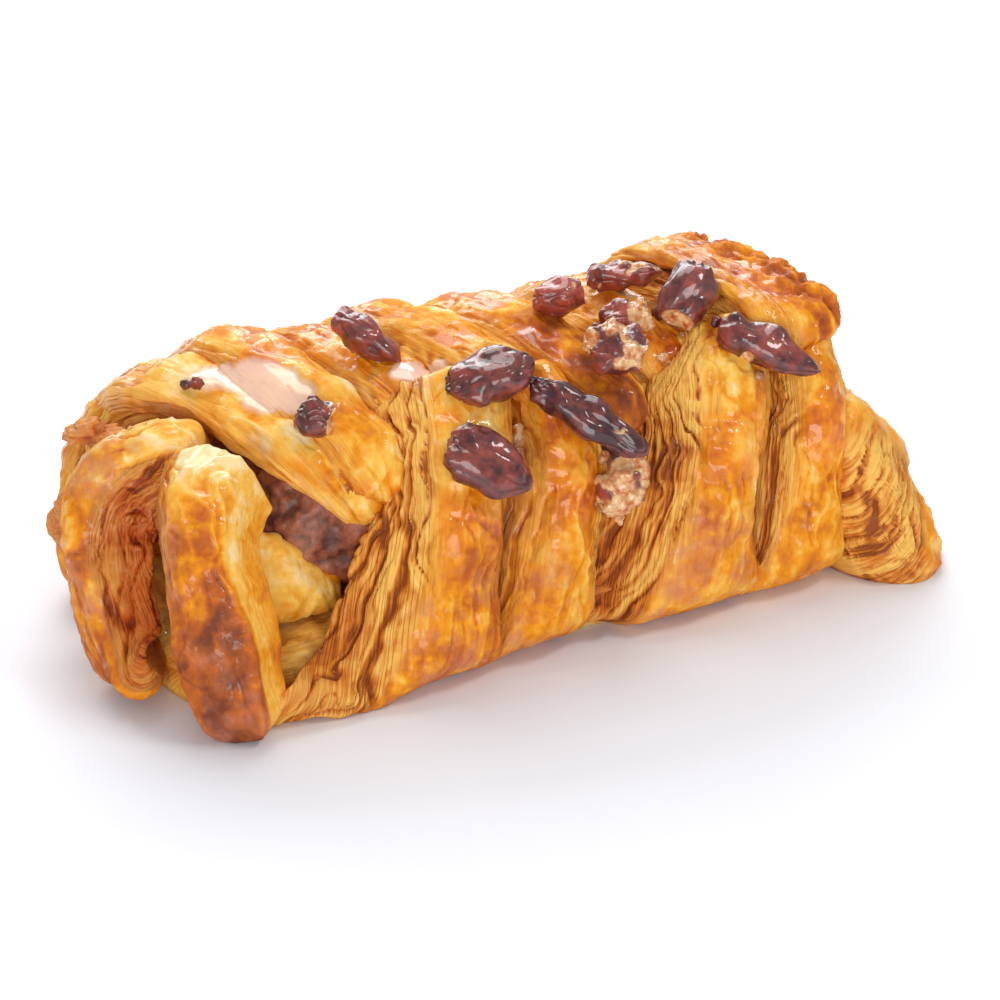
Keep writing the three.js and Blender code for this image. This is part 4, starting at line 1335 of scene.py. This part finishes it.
def grid_object(name, points, attributes):
    """An object from one grid or many alike, in loaf millimetres, whose end rows close on a point."""
    grids = points.reshape(-1, *points.shape[-3:])
    count, rows, columns = grids.shape[:3]
    body = (rows - 2) * columns
    index = np.arange(count * body).reshape(count, rows - 2, columns)
    beside = np.roll(index, -1, axis=2)
    quads = np.stack([index[:, :-1], index[:, 1:], beside[:, 1:], beside[:, :-1]], axis=-1).reshape(-1, 4)
    first = np.broadcast_to(count * body + np.arange(count)[:, None], (count, columns))
    last = first + count
    fan_first = np.stack([first, index[:, 0], beside[:, 0]], axis=-1)
    fan_last = np.stack([last, beside[:, -1], index[:, -1]], axis=-1)
    fans = np.concatenate([fan_first, fan_last]).reshape(-1, 3)
    corners = end_to_end(grids)
    spots = corners[quads]
    flat = np.cross(spots[:, 1] - spots[:, 0], spots[:, 2] - spots[:, 0])
    middle = np.repeat(grids.mean(axis=(1, 2)), len(quads) // count, axis=0)
    if np.sum(flat * (spots[:, 0] - middle)) < 0:
        quads = quads[:, ::-1]
        fans = fans[:, ::-1]
    loops = np.concatenate([quads.ravel(), fans.ravel()]).astype(np.int32)
    starts = np.concatenate([np.arange(len(quads)) * 4, len(quads) * 4 + np.arange(len(fans)) * 3])
    mesh = bpy.data.meshes.new(name)
    mesh.vertices.add(len(corners))
    mesh.vertices.foreach_set("co", ((corners - CENTRE) * METRES).astype(np.float32).ravel())
    mesh.loops.add(len(loops))
    mesh.loops.foreach_set("vertex_index", loops)
    mesh.polygons.add(len(starts))
    mesh.polygons.foreach_set("loop_start", starts.astype(np.int32))
    mesh.update(calc_edges=True)
    mesh.shade_smooth()
    for key, values in attributes.items():
        parts = values.shape[points.ndim - 1:]
        kind, entry = ("FLOAT_VECTOR", "vector") if parts else ("FLOAT", "value")
        layer = mesh.attributes.new(key, kind, "POINT")
        spread = end_to_end(values.reshape(count, rows, columns, *parts))
        layer.data.foreach_set(entry, spread.astype(np.float32).ravel())
    made = bpy.data.objects.new(name, mesh)
    bpy.context.scene.collection.objects.link(made)
    return made


def end_to_end(grids):
    """Values of grids in a mesh's order: all inner rows, then each grid's first end and last end."""
    inner = grids[:, 1:-1].reshape(-1, *grids.shape[3:])
    return np.concatenate([inner, grids[:, 0].mean(axis=1), grids[:, -1].mean(axis=1)])


def join_frame(made, node, material):
    """Gives a piece its material and sets it on the frame in place of its CAD node."""
    made.data.materials.append(material)
    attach(made, "root")
    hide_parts(node)


def linear(colour):
    """A display colour as the linear colour that a node socket takes, with alpha."""
    shown = np.array(colour)
    curved = ((shown + CURVE_OFFSET) / (1 + CURVE_OFFSET)) ** CURVE_POWER
    value = np.where(shown <= STRAIGHT_END, shown / STRAIGHT_SLOPE, curved)
    return (*value, 1.0)


class Nodes:
    """A material's node tree with short ways to add and link nodes."""

    def __init__(self, name):
        self.material = bpy.data.materials.new(name)
        self.material.use_nodes = True
        self.tree = self.material.node_tree
        self.surface = self.tree.nodes["Principled BSDF"]
        self.place = self.tree.nodes.new("ShaderNodeTexCoord").outputs["Object"]

    def put(self, value, socket):
        """Links an output to a socket, or sets the socket to a constant."""
        if isinstance(value, bpy.types.NodeSocket):
            self.tree.links.new(value, socket)
        else:
            socket.default_value = value

    def attribute(self, name):
        """A float attribute of the mesh."""
        made = self.tree.nodes.new("ShaderNodeAttribute")
        made.attribute_name = name
        return made.outputs["Fac"]

    def noise(self, size, detail=3.0, roughness=0.55):
        """Noise of a size in millimetres, from 0 to 1."""
        made = self.tree.nodes.new("ShaderNodeTexNoise")
        made.inputs["Scale"].default_value = 1 / (size * METRES)
        made.inputs["Detail"].default_value = detail
        made.inputs["Roughness"].default_value = roughness
        self.put(self.place, made.inputs["Vector"])
        return made.outputs["Fac"]

    def streaks(self, long, wide, detail=3.0):
        """Noise drawn out along the dough's grain, of a length and width in millimetres, from 0 to 1."""
        grain = self.tree.nodes.new("ShaderNodeAttribute")
        grain.attribute_name = "grain"
        stretch = self.tree.nodes.new("ShaderNodeMapping")
        stretch.inputs["Scale"].default_value = (1 / long, 1 / wide, 1.0)
        self.put(grain.outputs["Vector"], stretch.inputs["Vector"])
        made = self.tree.nodes.new("ShaderNodeTexNoise")
        made.inputs["Scale"].default_value = 1.0
        made.inputs["Detail"].default_value = detail
        self.put(stretch.outputs["Vector"], made.inputs["Vector"])
        return made.outputs["Fac"]

    def sum(self, operation, *values):
        """A sum of the given kind over two or three values."""
        made = self.tree.nodes.new("ShaderNodeMath")
        made.operation = operation
        for value, socket in zip(values, made.inputs):
            self.put(value, socket)
        return made.outputs[0]

    def total(self, *values):
        """The sum of all the values."""
        added = values[0]
        for value in values[1:]:
            added = self.sum("ADD", added, value)
        return added

    def span(self, value, low, high, to_low, to_high):
        """A value's span carried over to another, held at its ends."""
        made = self.tree.nodes.new("ShaderNodeMapRange")
        for item, socket in zip((value, low, high, to_low, to_high), made.inputs):
            self.put(item, socket)
        return made.outputs[0]

    def swing(self, value, amount):
        """A noise carried over to a swing of the given amount to both sides of 0."""
        return self.span(value, *NOISE_SPAN, -amount, amount)

    def finish(self, values):
        """Sets constants on the surface by the names of its sockets."""
        for name, value in values.items():
            self.surface.inputs[name].default_value = value

    def colours(self, value, stops):
        """A colour ramp over stops of place and display colour."""
        made = self.tree.nodes.new("ShaderNodeValToRGB")
        stops = tuple(stops)
        elements = made.color_ramp.elements
        while len(elements) < len(stops):
            elements.new(0.5)
        for element, (place, colour) in zip(elements, stops):
            element.position = place
            element.color = linear(colour)
        self.put(value, made.inputs["Fac"])
        return made.outputs["Color"]

    def blend(self, share, first, second, kind="MIX"):
        """Two colours mixed by a share."""
        made = self.tree.nodes.new("ShaderNodeMix")
        made.data_type = "RGBA"
        made.blend_type = kind
        self.put(share, made.inputs["Factor"])
        self.put(first, made.inputs[6])
        self.put(second, made.inputs[7])
        return made.outputs[2]

    def bump(self, height, distance):
        """A bump of a distance in millimetres, set on the surface."""
        made = self.tree.nodes.new("ShaderNodeBump")
        made.inputs["Distance"].default_value = distance * METRES
        self.put(height, made.inputs["Height"])
        self.put(made.outputs["Normal"], self.surface.inputs["Normal"])


def dough_material(colours):
    """Baked dough: crust from pale to toasted by the toast attribute, which also holds painted shade and
    highlight, and sheets by the layer attribute, with painted shade in their gaps.

    The crust is mottled, streaked along its grain, and flecked with pale flakes that have crisp edges. The
    pools of glaze are painted pale pink as a reflection of the softbox."""
    nodes = Nodes("plait_dough")
    face = nodes.attribute("face")
    glaze = nodes.attribute("glaze")
    pool = nodes.attribute("pool")
    mauve = linear(colours.crust_mauve)
    mottle = nodes.swing(nodes.noise(MOTTLE_SIZE), MOTTLE)
    streak = nodes.swing(nodes.streaks(*STREAK_SIZE), STREAK)
    speck = nodes.swing(nodes.noise(SPECK_SIZE), SPECK)
    flake = nodes.span(nodes.noise(FLAKE_SIZE), *FLAKE_SPAN, 0.0, -FLAKE)
    char = nodes.span(nodes.noise(CHAR_SIZE), *CHAR_SPAN, 0.0, CHAR)
    # The toast attribute holds the bake, and on strips and the roll also painted shade in hollows and painted
    # highlight.
    baked = nodes.total(nodes.attribute("toast"), mottle, streak, speck, flake, char)
    browning = (colours.crust_pale, colours.crust_light, colours.crust_gold, colours.crust_brown,
                colours.crust_dark)
    crust = nodes.colours(nodes.sum("MULTIPLY", baked, BAKE_SCALE), zip(CRUST_STOPS, browning))
    # Thin slits are drawn darker across the sheets as painted shade, and sunk by the bump below.
    line = nodes.sum("SUBTRACT", nodes.streaks(*SLIT_SIZE, SLIT_DETAIL), 0.5)
    slit = nodes.span(nodes.sum("ABSOLUTE", line), *SLIT_SPAN, -SLIT, 0.0)
    lifted = nodes.total(nodes.attribute("layer"), mottle, speck, slit)
    # Sheet colours by layer: painted shade in the gaps, the sheets' sides, and their edges with a painted
    # highlight.
    edges = (colours.sheet_gap_shade, colours.sheet_middle, colours.sheet_edge_and_highlight)
    cut = nodes.colours(lifted, zip(SHEET_STOPS, edges))
    darkened = nodes.blend(1.0, cut, mauve, "MULTIPLY")
    toasted = nodes.blend(nodes.span(baked, *SHEETS_DARKEN_SPAN, 0.0, SHEETS_DARKEN), cut, darkened)
    bare = nodes.blend(face, crust, toasted)
    patchy = nodes.span(nodes.noise(BLUSH_PATCH_SIZE), *BLUSH_PATCH_SPAN, *BLUSH_PATCH)
    blushed = nodes.blend(nodes.sum("MULTIPLY", nodes.attribute("blush"), patchy), bare, mauve)
    syrup = nodes.sum("MULTIPLY", nodes.attribute("syrup"), SYRUP_TINT)
    tinted = nodes.blend(syrup, blushed, linear(colours.syrup), "MULTIPLY")
    # Painted reflection: where glaze pools, the colour turns pale pink as if it mirrored the softbox.
    pool_reflected = nodes.blend(nodes.sum("MULTIPLY", pool, POOL_REFLECTION_COVER), tinted, linear(colours.pool_reflection))
    nodes.put(pool_reflected, nodes.surface.inputs["Base Color"])
    nodes.put(nodes.span(glaze, 0, 1, *GLAZE_ROUGHNESS), nodes.surface.inputs["Roughness"])
    glint = nodes.span(nodes.noise(GLINT_SIZE), *GLINT_SPAN, 0.0, GLINT)
    shine = nodes.sum("MULTIPLY", nodes.sum("MAXIMUM", glaze, glint), nodes.span(face, 0, 1, 1.0, CUT_SHINE))
    nodes.put(shine, nodes.surface.inputs["Coat Weight"])
    nodes.finish(DOUGH_FINISH)
    fine_streak = nodes.sum("MULTIPLY", nodes.streaks(*ROUGH_STREAK_SIZE), ROUGH_STREAK)
    split = nodes.sum("MULTIPLY", slit, nodes.sum("MULTIPLY", face, SLIT_BUMP))
    flaked = nodes.span(flake, -FLAKE, 0.0, FLAKE_BUMP, 0.0)
    rough = nodes.total(nodes.noise(ROUGH_SIZE, FINE_DETAIL), fine_streak, split, flaked)
    smoothed = nodes.sum("MULTIPLY", rough, nodes.span(pool, 0, 1, 1.0, POOL_BUMP))
    nodes.bump(smoothed, DOUGH_BUMP)
    return nodes.material


def filling_material(colours):
    """Moist nut paste, with painted shade in the hollows between its grains."""
    nodes = Nodes("plait_filling")
    grain = nodes.swing(nodes.noise(PASTE_SIZE, FINE_DETAIL), PASTE)
    heap = nodes.total(nodes.attribute("heap"), grain)
    paste = nodes.colours(heap, zip(PASTE_STOPS, (colours.filling_shade, colours.filling)))
    nodes.put(paste, nodes.surface.inputs["Base Color"])
    nodes.finish(PASTE_FINISH)
    nodes.bump(nodes.noise(PASTE_BUMP_SIZE, FINE_DETAIL), PASTE_BUMP)
    return nodes.material


def pecan_material(colours):
    """Glossy pecan skin by its tone, with painted shade in the wrinkles, pale where it is broken."""
    nodes = Nodes("plait_pecan")
    uneven = nodes.swing(nodes.noise(NUT_TONE_SIZE, FINE_DETAIL), NUT_TONE)
    tone = nodes.total(nodes.attribute("tone"), uneven)
    skin = nodes.colours(tone, ((0.0, colours.pecan_dark), (1.0, colours.pecan_light)))
    # Painted shade in the wrinkles.
    groove = nodes.sum("MULTIPLY", nodes.attribute("groove"), NUT_WRINKLE_SHADE)
    deep = nodes.blend(groove, skin, linear(colours.pecan_dark))
    crumbly = (colours.crust_brown, colours.pecan_flesh)
    flesh = nodes.colours(nodes.noise(NUT_FLESH_SIZE, FINE_DETAIL), zip(NUT_FLESH_STOPS, crumbly))
    nodes.put(nodes.blend(nodes.attribute("bare"), deep, flesh), nodes.surface.inputs["Base Color"])
    nodes.finish(NUT_FINISH)
    nodes.bump(nodes.noise(NUT_BUMP_SIZE, FINE_DETAIL), NUT_BUMP)
    return nodes.material


def stage_floor(scene):
    """A wide square floor just below the table's height."""
    mesh = bpy.data.meshes.new("stage_floor")
    corners = [(-1, -1), (1, -1), (1, 1), (-1, 1)]
    spots = [(x * FLOOR_REACH, y * FLOOR_REACH, FLOOR_HEIGHT) for x, y in corners]
    mesh.from_pydata(spots, [], [(0, 1, 2, 3)])
    floor = bpy.data.objects.new("stage_floor", mesh)
    scene.collection.objects.link(floor)
    nodes = Nodes("stage_floor")
    nodes.put(linear(scene.plait_colours.floor), nodes.surface.inputs["Base Color"])
    nodes.finish(FLOOR_FINISH)
    mesh.materials.append(nodes.material)


def stage_light(scene):
    """A white room and the softboxes, each turned to the origin."""
    world = bpy.data.worlds.new("stage_room")
    world.use_nodes = True
    room = world.node_tree.nodes["Background"]
    room.inputs["Color"].default_value = WHITE
    room.inputs["Strength"].default_value = scene.plait_studio.world_strength
    scene.world = world
    for name, place, size, power in LAMPS:
        light = bpy.data.lights.new(name, "AREA")
        light.shape = "RECTANGLE"
        light.size, light.size_y = size
        light.energy = getattr(scene.plait_studio, power)
        lamp = bpy.data.objects.new(name, light)
        lamp.location = place
        lamp.rotation_euler = (-Vector(place)).to_track_quat("-Z", "Y").to_euler()
        scene.collection.objects.link(lamp)


def stage_camera(scene):
    """The photo's camera, set back from its target."""
    back = Vector(CAMERA_BACK)
    right = Vector(CAMERA_RIGHT).normalized()
    rise = back.cross(right).normalized()
    lens = bpy.data.cameras.new("stage_camera")
    lens.lens = scene.plait_studio.camera_lens
    lens.sensor_width = CAMERA_SENSOR
    lens.shift_x, lens.shift_y = CAMERA_SHIFT
    lens.clip_start = CAMERA_CLIP
    camera = bpy.data.objects.new("stage_camera", lens)
    turned = Matrix((right, rise, back)).transposed().to_4x4()
    place = Vector(CAMERA_TARGET) + back * scene.plait_studio.camera_distance
    camera.matrix_world = Matrix.Translation(place) @ turned
    scene.collection.objects.link(camera)
    scene.camera = camera


class PLAIT_OT_strips(bpy.types.Operator):
    """Makes the dough's strips."""

    bl_idname = "plait.strips"
    bl_label = "Dough strips"

    def execute(self, context):
        sizes = context.scene.plait_sizes
        material = dough_material(context.scene.plait_colours)
        for seed, strip in enumerate(STRIPS, start=1):
            made = grid_object("plait_strip_" + strip.name, *strip_surface(strip, seed, sizes))
            join_frame(made, "dough", material)
        return {"FINISHED"}


class PLAIT_OT_base(bpy.types.Operator):
    """Makes the base, the sheets below the slits, the roll, the tongue and the torn lumps."""

    bl_idname = "plait.base"
    bl_label = "Base, roll and tongue"

    def execute(self, context):
        sizes = context.scene.plait_sizes
        material = bpy.data.materials["plait_dough"]
        surfaces = (
            (BASE.name, base_surface(sizes)),
            (ROLL.name, roll_surface(sizes)),
            ("plait_tongue", tongue_surface(sizes)),
            ("plait_burrs", burr_surfaces()),
        )
        skirts = tuple((skirt.name, skirt_surface(skirt, SKIRT_SEED + SKIRT_SEED_STEP * number))
                       for number, skirt in enumerate(SKIRTS))
        for name, (points, attributes) in surfaces + skirts:
            join_frame(grid_object(name, points, attributes), "dough", material)
        return {"FINISHED"}


class PLAIT_OT_filling(bpy.types.Operator):
    """Makes the nut filling that runs through the plait."""

    bl_idname = "plait.filling"
    bl_label = "Filling"

    def execute(self, context):
        points, attributes = filling_surface()
        made = grid_object(FILLING.name, points, attributes)
        join_frame(made, "filling", filling_material(context.scene.plait_colours))
        return {"FINISHED"}


class PLAIT_OT_pecans(bpy.types.Operator):
    """Makes the pecan pieces and the crumbs."""

    bl_idname = "plait.pecans"
    bl_label = "Pecans"

    def execute(self, context):
        sizes = context.scene.plait_sizes
        material = pecan_material(context.scene.plait_colours)
        for number, pecan in enumerate(PECANS, start=1):
            points, attributes = pecan_surface(pecan, number, sizes)
            made = grid_object(f"plait_pecan_{number}", points, attributes)
            join_frame(made, f"pecan_{number}", material)
        crumbs = grid_object("plait_crumbs", *crumb_surfaces(sizes))
        crumbs.data.materials.append(material)
        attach(crumbs, "root")
        return {"FINISHED"}


class PLAIT_OT_stage(bpy.types.Operator):
    """Makes the floor, the lights and the camera."""

    bl_idname = "plait.stage"
    bl_label = "Stage"

    def execute(self, context):
        stage_floor(context.scene)
        stage_light(context.scene)
        stage_camera(context.scene)
        context.scene.view_settings.view_transform = "Standard"
        return {"FINISHED"}


class PLAIT_PT_panel(bpy.types.Panel):
    """Lists the plait's operators and settings in the sidebar."""

    bl_idname = "PLAIT_PT_panel"
    bl_label = "Pecan plait"
    bl_space_type = "VIEW_3D"
    bl_region_type = "UI"
    bl_category = "Pecan plait"

    def draw(self, context):
        for operator in OPERATORS:
            self.layout.operator(operator.bl_idname)
        for group in (context.scene.plait_sizes, context.scene.plait_colours, context.scene.plait_studio):
            for name in group.bl_rna.properties.keys():
                if name not in ("rna_type", "name"):
                    self.layout.prop(group, name)


OPERATORS = (PLAIT_OT_strips, PLAIT_OT_base, PLAIT_OT_filling, PLAIT_OT_pecans, PLAIT_OT_stage)
CLASSES = (PlaitSizes, PlaitColours, PlaitStudio, *OPERATORS, PLAIT_PT_panel)


def register():
    """Registers the classes and hangs the settings on the scene."""
    for made in CLASSES:
        bpy.utils.register_class(made)
    bpy.types.Scene.plait_sizes = bpy.props.PointerProperty(type=PlaitSizes)
    bpy.types.Scene.plait_colours = bpy.props.PointerProperty(type=PlaitColours)
    bpy.types.Scene.plait_studio = bpy.props.PointerProperty(type=PlaitStudio)


def unregister():
    """Takes the settings off the scene and unregisters the classes."""
    del bpy.types.Scene.plait_studio
    del bpy.types.Scene.plait_colours
    del bpy.types.Scene.plait_sizes
    for made in reversed(CLASSES):
        bpy.utils.unregister_class(made)


def main():
    """Builds the plait and its stage."""
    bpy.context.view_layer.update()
    register()
    bpy.ops.plait.strips()
    bpy.ops.plait.base()
    bpy.ops.plait.filling()
    bpy.ops.plait.pecans()
    bpy.ops.plait.stage()


if __name__ == "__main__":
    main()
